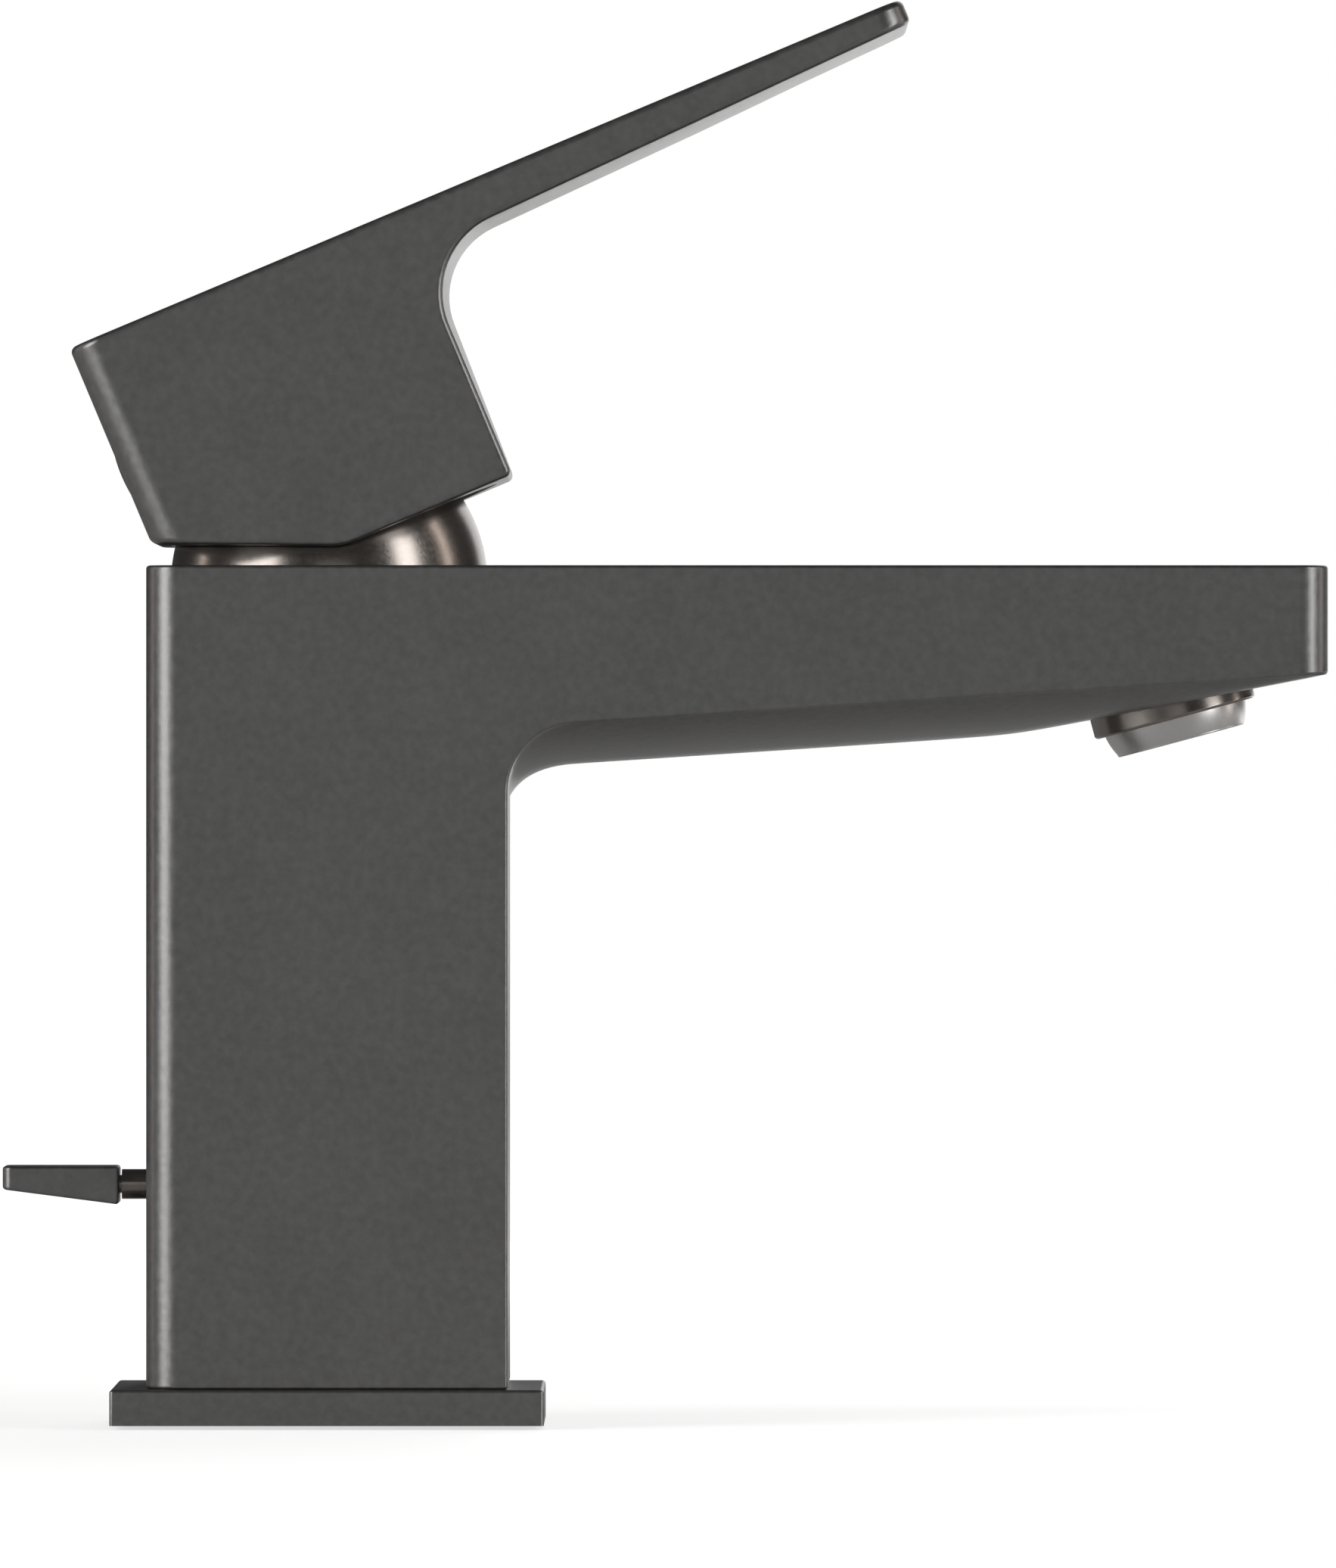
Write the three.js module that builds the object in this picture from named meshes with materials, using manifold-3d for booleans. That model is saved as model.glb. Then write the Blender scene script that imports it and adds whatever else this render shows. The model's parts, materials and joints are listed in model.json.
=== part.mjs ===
// Single-lever basin mixer with a pop-up waste knob: a square column with a long flat spout, a tilting
// aerator, a ceramic disc cartridge under a domed cap, a flat lever and a lift rod.
// Millimetres, +Z up. The origin is the middle of the foot's underside, on the deck. The spout points
// along +X, and the lever stands raised, as it does when the water runs.
import * as THREE from "three";
import { mergeVertices } from "three/addons/utils/BufferGeometryUtils.js";
import Module from "manifold-3d";

const wasm = await Module();
wasm.setup();

// ---------------------------------------------------------------- clearances
const GAP = 0.3; // between neighbours that touch, or nearly touch, in the real mixer
const RUNNING = 0.15; // radial play of a piece that turns or slides in another
const OVERRUN = 1; // how far a cutting tool runs past the face that it cuts

// ---------------------------------------------------------------- column, spout and base
const COLUMN_SIZE = 45.6; // side of the square column, and width of the spout
const BODY_TOP = 108.35;
const BACK_CORNER_RADIUS = 4.3;
const TIP_CORNER_RADIUS = 4;
const BODY_WALL = 3.2;
const SPOUT_REACH = 126.2; // from the column's centre to the spout's tip
const SPOUT_TIP_HEIGHT = 13.75;
const SPOUT_EDGE_SLOPE = 3.7; // degrees, along the lower side edge
const SPOUT_ROOT_RADIUS = 8.6; // fillet between the column and the lower side edge
const SPOUT_FLOOR = 2.8; // metal under the water channel at its side edge
const BELLY_DEPTH = 5.1; // how far the underside bulges below the side edges
const BELLY_LAND = 0.6; // flat along each side edge, outside the bulge
const BELLY_ROOT_RUN = 8.5; // length of the curve that joins the belly to the column
const BELLY_ROOT_DROP = 3.85;
const BELLY_ROOT_LEAN = 25; // degrees off the column's face where that curve starts
const OUTLET_SLOPE = 11; // degrees, the flat that carries the aerator
const PLATE_LENGTH = 54.7;
const PLATE_OVERHANG = 0.5; // beyond the column's sides, on each side
const PLATE_THICKNESS = 4.55;
const PLATE_CORNER_RADIUS = 0.5;
const CAVITY_TOP = 76; // roof of the hollow column

// ---------------------------------------------------------------- foot, gaskets and ports
const FOOT_BACK = -9; // the manifold, which stands on the deck through the plate
const FOOT_FRONT = 16;
const FOOT_WIDTH = 28;
const FOOT_CORNER_RADIUS = 3;
const INLET_X = -4;
const INLET_SPACING = 15; // between the hot and the cold inlet
const HOSE_THREAD_RADIUS = 4.25;
const HOSE_THREAD_DEPTH = 16;
const WATERWAY_RADIUS = 3.4;
const STUD_X = 10;
const STUD_THREAD_RADIUS = 3.4;
const STUD_THREAD_DEPTH = 14;
const GASKET_THICKNESS = 1.5;
const GASKET_MARGIN = 2; // rim of the plate outside the base gasket
const SEAL_WIDTH = 1.5; // of the seal between the column and the plate
const SEAL_DEPTH = 0.8;

// ---------------------------------------------------------------- cartridge
const CARTRIDGE_RADIUS = 17.4;
const CHAMBER_PLAY = 0.8; // between the cartridge and its chamber
const CHAMBER_RADIUS = CARTRIDGE_RADIUS + CHAMBER_PLAY;
const CHAMBER_FLOOR = 82;
const CARTRIDGE_STANDOFF = 0.3; // the base stands on its seals, clear of the chamber's floor
const CARTRIDGE_BASE_HEIGHT = 4;
const PORT_SEAL_RADIUS = 5;
const PORT_SEAL_HEIGHT = 1.6;
const HOUSING_WALL = 2.2;
const OUTLET_CHANNEL_WIDTH = 8;
const OUTLET_CHANNEL_DEPTH = 2.1;
const DISC_CAVITY_RADIUS = CARTRIDGE_RADIUS - HOUSING_WALL;
const FIXED_DISC_RADIUS = DISC_CAVITY_RADIUS - GAP;
const FIXED_DISC_HEIGHT = 3.7;
const MOVING_DISC_RADIUS = 10.6;
const MOVING_DISC_HEIGHT = 3.5;
const MIXING_POCKET_DEPTH = 2;
const MIXING_POCKET_RADIUS = 7.4;
const DRIVER_PLATE_HEIGHT = 3.2;
const DRIVER_HUB_RADIUS = 5.5;
const DRIVER_HEIGHT = 7.5;
const SHOULDER_HEIGHT = 103.8; // where the clamping nut presses, above the deck
const SHOULDER_THICKNESS = 2.4;
const NECK_RADIUS = 12.3;
const NECK_BORE_RADIUS = 9.8;
const NECK_TOP = 119.8;
const CHAMBER_RING_HEIGHT = 99; // middle of the ring that seals the chamber above the outlet
const CHAMBER_RING_TUBE = 0.95;
const NUT_RADIUS = CHAMBER_RADIUS - GAP;
const NUT_BORE_RADIUS = 13.2;
const NUT_THREAD_HEIGHT = 3.5;
const NUT_COLLAR_RADIUS = 17.2;
const NUT_COLLAR_HEIGHT = 3.1;
const NUT_SLOT_WIDTH = 3;
const STOP_RING_RADIUS = 14.6;
const STOP_RING_HEIGHT = 2.4;
const STOP_TOOTH_WIDTH = 5;
const STOP_TOOTH_HEIGHT = 2;

// ---------------------------------------------------------------- dome
const DOME_RADIUS = 20.1;
const DOME_CENTRE = 106.2;
const DOME_WALL = 1.1;
const DOME_OPENING_RADIUS = 14.2;
const DOME_SEAT_DEPTH = 1.15; // how far the dome stands in the body's top
const DOME_RING_TUBE = 0.8;

// ---------------------------------------------------------------- lever, its spindle and its pin
const LIFT_ANGLE = 22.8; // degrees, from closed up to fully open
const PIVOT_HEIGHT = 117.3;
const PIN_RADIUS = 1.5;
const PIN_LENGTH = 18;
const CARRIER_RADIUS = NECK_BORE_RADIUS - GAP;
const CARRIER_BOTTOM = 104;
const CARRIER_TOP = 119.5;
const SPINDLE_THICKNESS = 4.8; // across the slot of the carrier
const SPINDLE_KNUCKLE_RADIUS = 3.4;
const SPINDLE_ARM_RADIUS = 2;
const SPINDLE_ARM_LENGTH = 18.5; // from the pin to the ball
const SPINDLE_BALL_RADIUS = 2.4;
const SPINDLE_SQUARE = 8;
const SPINDLE_SQUARE_BOTTOM = 122;
const SPINDLE_TOP = 138;
const BALL_PLAY = 0.35;
const LEVER_TOP = 146.8; // all the lever's heights are those of the closed lever, above the deck
const LEVER_BOTTOM = 110.5;
const LEVER_KINK_X = -0.6; // from here back the underside slopes up, to clear the body when it is raised
const LEVER_BACK_BOTTOM = 120.05;
const LEVER_REACH = 90.9; // from the column's centre to the tip of the blade
const LEVER_CORNER_RADIUS = 4;
const LEVER_NECK_FRONT = 22.5;
const LEVER_INNER_RADIUS = 10.3;
const BLADE_TIP_THICKNESS = 3.3;
const BLADE_TAPER = 2.1; // degrees between the blade's faces
const LEVER_EDGE_RADIUS = 0.8;
const LEVER_CAVITY_ROOF = 126.6;
const DOME_CLEARANCE = 0.55; // between the dome and the hollow of the lever
const GRUB_HEIGHT = 129.9;
const GRUB_RADIUS = 2;
const GRUB_LENGTH = 6;
const PLUG_RADIUS = 4.35;
const PLUG_PROUD = 0.5;
const PLUG_DEPTH = 0.9;
const PLUG_STEM_RADIUS = 1.8;
const PLUG_STEM_LENGTH = 4;

// ---------------------------------------------------------------- aerator
const AERATOR_X = 107.4; // middle of the collar's lower rim
const AERATOR_Z = 89.1;
const AERATOR_TILT = 15; // degrees off the vertical, pointing out
const COLLAR_RADIUS = 10.5;
const COLLAR_HEIGHT = 10.2;
const COLLAR_BORE_RADIUS = 9.85;
const COLLAR_LIP_RADIUS = 9.3;
const COLLAR_LIP_HEIGHT = 0.5;
const COLLAR_RIM_RADIUS = 0.4;
const NOZZLE_RADIUS = 9.35; // of the ball that the nozzle is cut from
const NOZZLE_CENTRE = 1.66; // height of the ball's centre above the rim
const NOZZLE_DROP = 2.92; // how far the nozzle stands out of the rim
const NOZZLE_RISE = 4; // from the ball's centre to the nozzle's upper face
const NOZZLE_BORE_RADIUS = 7.2;
const NOZZLE_LIP_RADIUS = 6.7;
const NOZZLE_LIP_HEIGHT = 0.6;
const SEAT_BOTTOM = 4.4; // heights above the rim
const SEAT_LIP = 7.1;
const SEAT_TOP = 8.2;
const SEAT_BORE_RADIUS = 6.6;
const WASHER_HEIGHT = 1.7;
const WASHER_BORE_RADIUS = 7;
const GRID_THICKNESS = 0.8;
const GRID_SLOTS = 5;
const GRID_SLOT_WIDTH = 1.3;
const INSERT_HEIGHT = 4;
const INSERT_HOLES = 8;
const INSERT_HOLE_RADIUS = 1.1;
const FEED_BORE_RADIUS = 6.5;
const FEED_FLOOR = 101.8; // floor of the passage that feeds the aerator
const FEED_WIDTH = 13;
const CHANNEL_END = 92; // where the wide channel of the spout stops
const CHAMBER_OUTLET_WIDTH = 20;
const CHAMBER_OUTLET_BOTTOM = 87.5;
const CHAMBER_OUTLET_TOP = 96;

// ---------------------------------------------------------------- lift rod and knob
const ROD_RADIUS = 1.9;
const ROD_X = -15.3;
const ROD_AXIS_HEIGHT = 30.05; // of the neck that carries the knob
const ROD_FOOT = 0.4;
const ROD_SOCKET_RADIUS = 1.1;
const ROD_SOCKET_DEPTH = 8;
const ROD_TRAVEL = 20;
const WEB_BOTTOM = 20.6;
const WEB_THICKNESS = 5.2;
const BUSH_RADIUS = 3.2;
const BUSH_FLANGE_RADIUS = 3.9;
const BUSH_FLANGE_HEIGHT = 0.9;
const KNOB_BACK = -41.3;
const KNOB_LENGTH = 14.7;
const KNOB_TOP = 32.4;
const KNOB_WIDTH = 12;
const KNOB_THIN = 2.95;
const KNOB_THICK = 4.85;
const SPIGOT_RADIUS = 1.15; // of the neck's threaded end in the knob
const SPIGOT_LENGTH = 6;

// ---------------------------------------------------------------- what follows from these sizes
const radians = THREE.MathUtils.degToRad;
const halfWidth = COLUMN_SIZE / 2;
const columnBack = -halfWidth;
const spoutSlope = Math.tan(radians(SPOUT_EDGE_SLOPE));
const tipBottom = BODY_TOP - SPOUT_TIP_HEIGHT;
const domeSeat = BODY_TOP - DOME_SEAT_DEPTH;
const cartridgeBottom = CHAMBER_FLOOR + CARTRIDGE_STANDOFF;
const fixedDiscBottom = cartridgeBottom + CARTRIDGE_BASE_HEIGHT;
const movingDiscBottom = fixedDiscBottom + FIXED_DISC_HEIGHT;
const driverBottom = movingDiscBottom + MOVING_DISC_HEIGHT;
const discTravel = SPINDLE_ARM_LENGTH * Math.sin(radians(LIFT_ANGLE));
const spindleSlot = SPINDLE_THICKNESS + 2 * RUNNING;
const knobFront = KNOB_BACK + KNOB_LENGTH;

// Height of the spout's lower side edge at a distance x from the column's centre.
function edgeHeight(x) {
  return tipBottom - (SPOUT_REACH - x) * spoutSlope;
}

// ---------------------------------------------------------------- finishes
const graphite = { color: 0x4d4c4b, roughness: 0.55, metalness: 0.6 };
const darkChrome = { color: 0x5c5753, roughness: 0.22, metalness: 1 };
const satinNickel = { color: 0xa8a6a2, roughness: 0.35, metalness: 1 };
const steel = { color: 0xb9bbbd, roughness: 0.3, metalness: 1 };
const brass = { color: 0xb8954f, roughness: 0.35, metalness: 1 };
const rubber = { color: 0x1c1c1c, roughness: 0.85, metalness: 0 };
const ceramic = { color: 0xe9e6df, roughness: 0.25, metalness: 0 };
const whitePlastic = { color: 0xdcdcd6, roughness: 0.5, metalness: 0 };
const greyPlastic = { color: 0x77797c, roughness: 0.5, metalness: 0 };
const redPlastic = { color: 0xa83a32, roughness: 0.5, metalness: 0 };

// ---------------------------------------------------------------- shapes
const ROUND_SIDES = 32;
const SMALL_SIDES = 16;
const ARC_STEP = radians(18);
const FULL_ROUND = 0.999; // share of a slot's half width that its round ends take
const MERGE = 1e-4;

// The points of an outline. A corner is [x, y], or [x, y, radius] where an arc rounds it.
function outline(corners) {
  const points = [];
  corners.forEach(([x, y, radius = 0], i) => {
    const corner = new THREE.Vector2(x, y);
    if (radius === 0) {
      points.push(corner);
      return;
    }
    const [beforeX, beforeY] = corners.at(i - 1);
    const [afterX, afterY] = corners[(i + 1) % corners.length];
    const back = new THREE.Vector2(beforeX - x, beforeY - y).normalize();
    const on = new THREE.Vector2(afterX - x, afterY - y).normalize();
    const half = Math.acos(back.dot(on)) / 2;
    const centre = back.clone().add(on).setLength(radius / Math.sin(half)).add(corner);
    const first = back.multiplyScalar(radius / Math.tan(half)).add(corner).sub(centre);
    const last = on.multiplyScalar(radius / Math.tan(half)).add(corner).sub(centre);
    const sweep = Math.atan2(first.cross(last), first.dot(last));
    const steps = Math.max(2, Math.ceil(Math.abs(sweep) / ARC_STEP));
    for (let k = 0; k <= steps; k++) {
      points.push(first.clone().rotateAround(new THREE.Vector2(), (sweep * k) / steps).add(centre));
    }
  });
  return points;
}

// A rectangle with corners of the same radius, as an outline.
function rectangle(left, right, low, high, radius = 0) {
  return outline([[left, low, radius], [right, low, radius], [right, high, radius], [left, high, radius]]);
}

// Points along an arc about [x, y], from one angle to another, in degrees.
function arc(x, y, radius, from, to, steps) {
  return Array.from({ length: steps + 1 }, (_, k) => {
    const angle = radians(from + ((to - from) * k) / steps);
    return [x + radius * Math.cos(angle), y + radius * Math.sin(angle)];
  });
}

function extruded(points, depth) {
  return new THREE.ExtrudeGeometry(new THREE.Shape(points), { depth, bevelEnabled: false });
}

// An outline in the XY plane, raised from low to high.
function upright(points, low, high) {
  return extruded(points, high - low).translate(0, 0, low);
}

// An outline in the XZ plane, run along Y from near to far.
function crosswise(points, near, far) {
  return extruded(points, far - near).rotateX(Math.PI / 2).translate(0, far, 0);
}

// An outline in the YZ plane, run along X from back to front.
function lengthwise(points, back, front) {
  const turn = new THREE.Matrix4().makeBasis(
    new THREE.Vector3(0, 1, 0),
    new THREE.Vector3(0, 0, 1),
    new THREE.Vector3(1, 0, 0),
  );
  return extruded(points, front - back).applyMatrix4(turn).translate(back, 0, 0);
}

function block(left, right, near, far, low, high) {
  return upright(rectangle(left, right, near, far), low, high);
}

function cylinder(radius, low, high, sides = ROUND_SIDES, x = 0, y = 0) {
  const geometry = new THREE.CylinderGeometry(radius, radius, high - low, sides);
  return geometry.rotateX(Math.PI / 2).translate(x, y, (low + high) / 2);
}

function sphere(radius, x, z, sides = SMALL_SIDES) {
  return new THREE.SphereGeometry(radius, sides, sides / 2).translate(x, 0, z);
}

// A profile of [radius, height] corners, turned about Z. It starts and ends on the axis, or closes on itself.
function turned(corners, sides = ROUND_SIDES) {
  const profile = outline(corners);
  const onAxis = profile[0].x === 0 && profile.at(-1).x === 0;
  if (!onAxis) profile.push(profile[0].clone());
  return new THREE.LatheGeometry(profile, sides).rotateX(Math.PI / 2);
}

// A ring of round section about Z.
function torus(radius, tube, height) {
  return new THREE.TorusGeometry(radius, tube, 8, ROUND_SIDES).translate(0, 0, height);
}

// A closed skin over convex sections with the same number of points, capped at both ends. The points of each
// section run anticlockwise, seen from the side of the last section.
function loft(sections) {
  const count = sections[0].length;
  const index = [];
  sections.slice(1).forEach((_, s) => {
    for (let k = 0; k < count; k++) {
      const here = s * count + k;
      const next = s * count + ((k + 1) % count);
      index.push(here, next, here + count, next, next + count, here + count);
    }
  });
  const lastStart = (sections.length - 1) * count;
  for (let k = 1; k < count - 1; k++) {
    index.push(0, k + 1, k, lastStart, lastStart + k, lastStart + k + 1);
  }
  return new THREE.BufferGeometry().setFromPoints(sections.flat()).setIndex(index);
}

// ---------------------------------------------------------------- joining and cutting
function toSolid(geometry) {
  const bare = geometry.clone();
  bare.deleteAttribute("normal");
  bare.deleteAttribute("uv");
  const merged = mergeVertices(bare, MERGE);
  const mesh = new wasm.Mesh({
    numProp: 3,
    vertProperties: merged.attributes.position.array,
    triVerts: new Uint32Array(merged.index.array),
  });
  return new wasm.Manifold(mesh);
}

function toGeometry(solid) {
  const { vertProperties, triVerts } = solid.getMesh();
  return new THREE.BufferGeometry()
    .setAttribute("position", new THREE.BufferAttribute(vertProperties, 3))
    .setIndex(new THREE.BufferAttribute(triVerts, 1));
}

function join(first, ...others) {
  return toGeometry(others.reduce((whole, other) => whole.add(toSolid(other)), toSolid(first)));
}

function cut(first, ...tools) {
  return toGeometry(tools.reduce((whole, tool) => whole.subtract(toSolid(tool)), toSolid(first)));
}

function common(first, ...others) {
  return toGeometry(others.reduce((whole, other) => whole.intersect(toSolid(other)), toSolid(first)));
}

function piece(name, geometry, finish) {
  const material = new THREE.MeshStandardMaterial({ ...finish, flatShading: true });
  const mesh = new THREE.Mesh(geometry, material);
  mesh.name = name;
  return mesh;
}

// ---------------------------------------------------------------- body casting and its manifold
// Two cylinders on the axes of the hot and the cold inlet.
function inletTools(radius, low, high) {
  return [-1, 1].map((side) => cylinder(radius, low, high, SMALL_SIDES, INLET_X, (side * INLET_SPACING) / 2));
}

// Column and spout from the side, without the belly. It runs past both ends, which the plan trims.
function bodySide() {
  const past = SPOUT_REACH + OVERRUN;
  return outline([
    [columnBack - OVERRUN, PLATE_THICKNESS],
    [halfWidth, PLATE_THICKNESS],
    [halfWidth, edgeHeight(halfWidth), SPOUT_ROOT_RADIUS],
    [past, edgeHeight(past)],
    [past, BODY_TOP],
    [columnBack - OVERRUN, BODY_TOP],
  ]);
}

function bodyPlan() {
  return outline([
    [columnBack, -halfWidth, BACK_CORNER_RADIUS],
    [SPOUT_REACH, -halfWidth, TIP_CORNER_RADIUS],
    [SPOUT_REACH, halfWidth, TIP_CORNER_RADIUS],
    [columnBack, halfWidth, BACK_CORNER_RADIUS],
  ]);
}

// Lowest line of the belly, as x and z: a curve out of the column, then a line along the side edges.
function bellyLine() {
  const line = (x) => edgeHeight(x) - BELLY_DEPTH;
  const start = new THREE.Vector2(halfWidth, line(halfWidth) - BELLY_ROOT_DROP);
  const end = new THREE.Vector2(halfWidth + BELLY_ROOT_RUN, line(halfWidth + BELLY_ROOT_RUN));
  const lean = Math.tan(radians(BELLY_ROOT_LEAN));
  const rise = (end.y - start.y - spoutSlope * BELLY_ROOT_RUN) / (1 - spoutSlope * lean);
  const bend = new THREE.Vector2(start.x + lean * rise, start.y + rise);
  const root = new THREE.QuadraticBezierCurve(start, bend, end).getPoints(4);
  const inside = new THREE.Vector2(start.x - OVERRUN, start.y);
  const past = SPOUT_REACH + OVERRUN;
  return [inside, ...root, new THREE.Vector2(past, line(past))];
}

// The bulge under the spout: the same arc across the spout at every station of the belly's lowest line.
function belly() {
  const radius = ((halfWidth - BELLY_LAND) ** 2 + BELLY_DEPTH ** 2) / (2 * BELLY_DEPTH);
  const steps = 10;
  const top = BODY_TOP - BODY_WALL / 2;
  return loft(
    bellyLine().map(({ x, y: lowest }) => {
      const section = [new THREE.Vector3(x, halfWidth, top), new THREE.Vector3(x, -halfWidth, top)];
      for (let k = 0; k <= steps; k++) {
        const y = halfWidth * ((2 * k) / steps - 1);
        section.push(new THREE.Vector3(x, y, lowest + radius - Math.sqrt(radius ** 2 - y ** 2)));
      }
      return section;
    }),
  );
}

// Cuts the belly's front end to the flat that carries the aerator.
function outletWedge() {
  const slope = Math.tan(radians(OUTLET_SLOPE));
  const from = halfWidth + BELLY_ROOT_RUN;
  const past = SPOUT_REACH + OVERRUN;
  const flat = (x) => tipBottom - (SPOUT_REACH - x) * slope;
  const under = flat(from) - COLUMN_SIZE;
  return crosswise(
    outline([[from, flat(from)], [from, under], [past, under], [past, flat(past)]]),
    -COLUMN_SIZE,
    COLUMN_SIZE,
  );
}

// The outline of the brass block that stands on the deck inside the column.
function footCore(grow, low, high) {
  const side = FOOT_WIDTH / 2 + grow;
  const radius = FOOT_CORNER_RADIUS + grow;
  return upright(rectangle(FOOT_BACK - grow, FOOT_FRONT + grow, -side, side, radius), low, high);
}

// The shelf behind the manifold that holds the rod's bush.
function rodWeb() {
  const inner = halfWidth - BODY_WALL / 2;
  return block(-inner, FOOT_BACK - GAP, -inner, inner, WEB_BOTTOM, WEB_BOTTOM + WEB_THICKNESS);
}

function columnCavity() {
  const inner = halfWidth - BODY_WALL;
  const radius = BACK_CORNER_RADIUS - BODY_WALL;
  return upright(rectangle(-inner, inner, -inner, inner, radius), PLATE_THICKNESS - OVERRUN, CAVITY_TOP);
}

// The wide water channel of the spout, and the passages at its two ends.
function spoutChannel() {
  const inner = halfWidth - BODY_WALL;
  const start = halfWidth + BODY_WALL;
  const roof = BODY_TOP - BODY_WALL;
  const floor = (x) => edgeHeight(x) + SPOUT_FLOOR;
  const wide = crosswise(
    outline([[start, floor(start)], [CHANNEL_END, floor(CHANNEL_END)], [CHANNEL_END, roof], [start, roof]]),
    -inner,
    inner,
  );
  const inlet = block(
    CHAMBER_RADIUS - BODY_WALL,
    start + OVERRUN,
    -CHAMBER_OUTLET_WIDTH / 2,
    CHAMBER_OUTLET_WIDTH / 2,
    CHAMBER_OUTLET_BOTTOM,
    CHAMBER_OUTLET_TOP,
  );
  const feedSide = FEED_WIDTH / 2;
  const feed = block(CHANNEL_END - OVERRUN, AERATOR_X, -feedSide, feedSide, FEED_FLOOR, roof);
  return join(wide, inlet, feed);
}

// The socket of the aerator's collar and the bore above it, in the aerator's own tilted frame.
function aeratorSocket() {
  const socket = cylinder(COLLAR_RADIUS + GAP, -COLLAR_RADIUS, COLLAR_HEIGHT + GAP);
  const bore = cylinder(FEED_BORE_RADIUS, COLLAR_HEIGHT, COLLAR_HEIGHT + BODY_WALL + OVERRUN, SMALL_SIDES);
  return join(socket, bore).rotateY(-radians(AERATOR_TILT)).translate(AERATOR_X, 0, AERATOR_Z);
}

function cartridgeChamber() {
  return join(
    cylinder(CHAMBER_RADIUS, CHAMBER_FLOOR, BODY_TOP + OVERRUN),
    cylinder(DOME_RADIUS + GAP, domeSeat, BODY_TOP + OVERRUN),
  );
}

// The brass block that holds the threads of the hoses and the stud, with the two waterways up to the chamber.
function inletManifold() {
  return cut(
    footCore(0, 0, CAVITY_TOP - GAP),
    ...inletTools(HOSE_THREAD_RADIUS, -OVERRUN, HOSE_THREAD_DEPTH),
    ...inletTools(WATERWAY_RADIUS, 0, CAVITY_TOP + OVERRUN),
    cylinder(STUD_THREAD_RADIUS, -OVERRUN, STUD_THREAD_DEPTH, SMALL_SIDES, STUD_X),
  );
}

// The slot in the column's back that the neck of the lift rod slides in.
function rodSlot() {
  const half = ROD_RADIUS + GAP;
  const low = ROD_AXIS_HEIGHT - half;
  const high = ROD_AXIS_HEIGHT + ROD_TRAVEL + half;
  const points = rectangle(-half, half, low, high, half * FULL_ROUND);
  return lengthwise(points, columnBack - OVERRUN, columnBack + BODY_WALL + OVERRUN);
}

function bodyCasting() {
  const spout = cut(join(crosswise(bodySide(), -halfWidth, halfWidth), belly()), outletWedge());
  const outside = common(spout, upright(bodyPlan(), PLATE_THICKNESS, BODY_TOP));
  const hollow = cut(outside, columnCavity(), spoutChannel(), cartridgeChamber());
  const bush = cylinder(BUSH_RADIUS + GAP, 0, CAVITY_TOP / 2, SMALL_SIDES, ROD_X);
  const waterways = inletTools(WATERWAY_RADIUS, CAVITY_TOP - OVERRUN, CHAMBER_FLOOR + OVERRUN);
  return cut(join(hollow, rodWeb()), ...waterways, bush, rodSlot(), aeratorSocket());
}

// ---------------------------------------------------------------- base plate and its seals
function plateOutline(inset, radius) {
  const x = PLATE_LENGTH / 2 - inset;
  const y = halfWidth + PLATE_OVERHANG - inset;
  return rectangle(-x, x, -y, y, radius);
}

function basePlate() {
  const inner = upright(gasketOpening(GAP), -OVERRUN, GASKET_THICKNESS);
  const recess = upright(plateOutline(GASKET_MARGIN, 0), -OVERRUN, GASKET_THICKNESS);
  return cut(
    upright(plateOutline(0, PLATE_CORNER_RADIUS), 0, PLATE_THICKNESS),
    cut(recess, inner),
    footCore(GAP, -OVERRUN, PLATE_THICKNESS + OVERRUN),
    cylinder(ROD_RADIUS + OVERRUN, -OVERRUN, PLATE_THICKNESS + OVERRUN, SMALL_SIDES, ROD_X),
    sealRing(GAP / 2, PLATE_THICKNESS - SEAL_DEPTH, PLATE_THICKNESS + OVERRUN),
  );
}

// Opening in the base gasket for the foot and the rod.
function gasketOpening(inset) {
  const back = ROD_X - ROD_RADIUS - GASKET_MARGIN + inset;
  const front = FOOT_FRONT + GASKET_MARGIN - inset;
  const side = FOOT_WIDTH / 2 + GASKET_MARGIN - inset;
  return rectangle(back, front, -side, side, FOOT_CORNER_RADIUS);
}

function baseGasket() {
  const outer = upright(plateOutline(GASKET_MARGIN + GAP, 0), 0, GASKET_THICKNESS);
  return cut(outer, upright(gasketOpening(0), -OVERRUN, GASKET_THICKNESS + OVERRUN));
}

// A square ring under the middle of the column's wall.
function sealRing(grow, low, high) {
  const outside = halfWidth - (BODY_WALL - SEAL_WIDTH) / 2 + grow;
  const inside = outside - SEAL_WIDTH - 2 * grow;
  const outerPart = upright(rectangle(-outside, outside, -outside, outside, BODY_WALL), low, high);
  const middle = rectangle(-inside, inside, -inside, inside, BODY_WALL - SEAL_WIDTH / 2);
  return cut(outerPart, upright(middle, low - OVERRUN, high + OVERRUN));
}

// ---------------------------------------------------------------- cartridge
function cartridgeBase() {
  const side = OUTLET_CHANNEL_WIDTH / 2;
  const floor = fixedDiscBottom - OUTLET_CHANNEL_DEPTH;
  return cut(
    cylinder(CARTRIDGE_RADIUS, cartridgeBottom, fixedDiscBottom),
    ...inletTools(WATERWAY_RADIUS, cartridgeBottom - OVERRUN, fixedDiscBottom + OVERRUN),
    ...inletTools(PORT_SEAL_RADIUS + RUNNING, cartridgeBottom - OVERRUN, CHAMBER_FLOOR + PORT_SEAL_HEIGHT),
    block(side, CARTRIDGE_RADIUS + OVERRUN, -side, side, floor, fixedDiscBottom + OVERRUN),
  );
}

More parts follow.
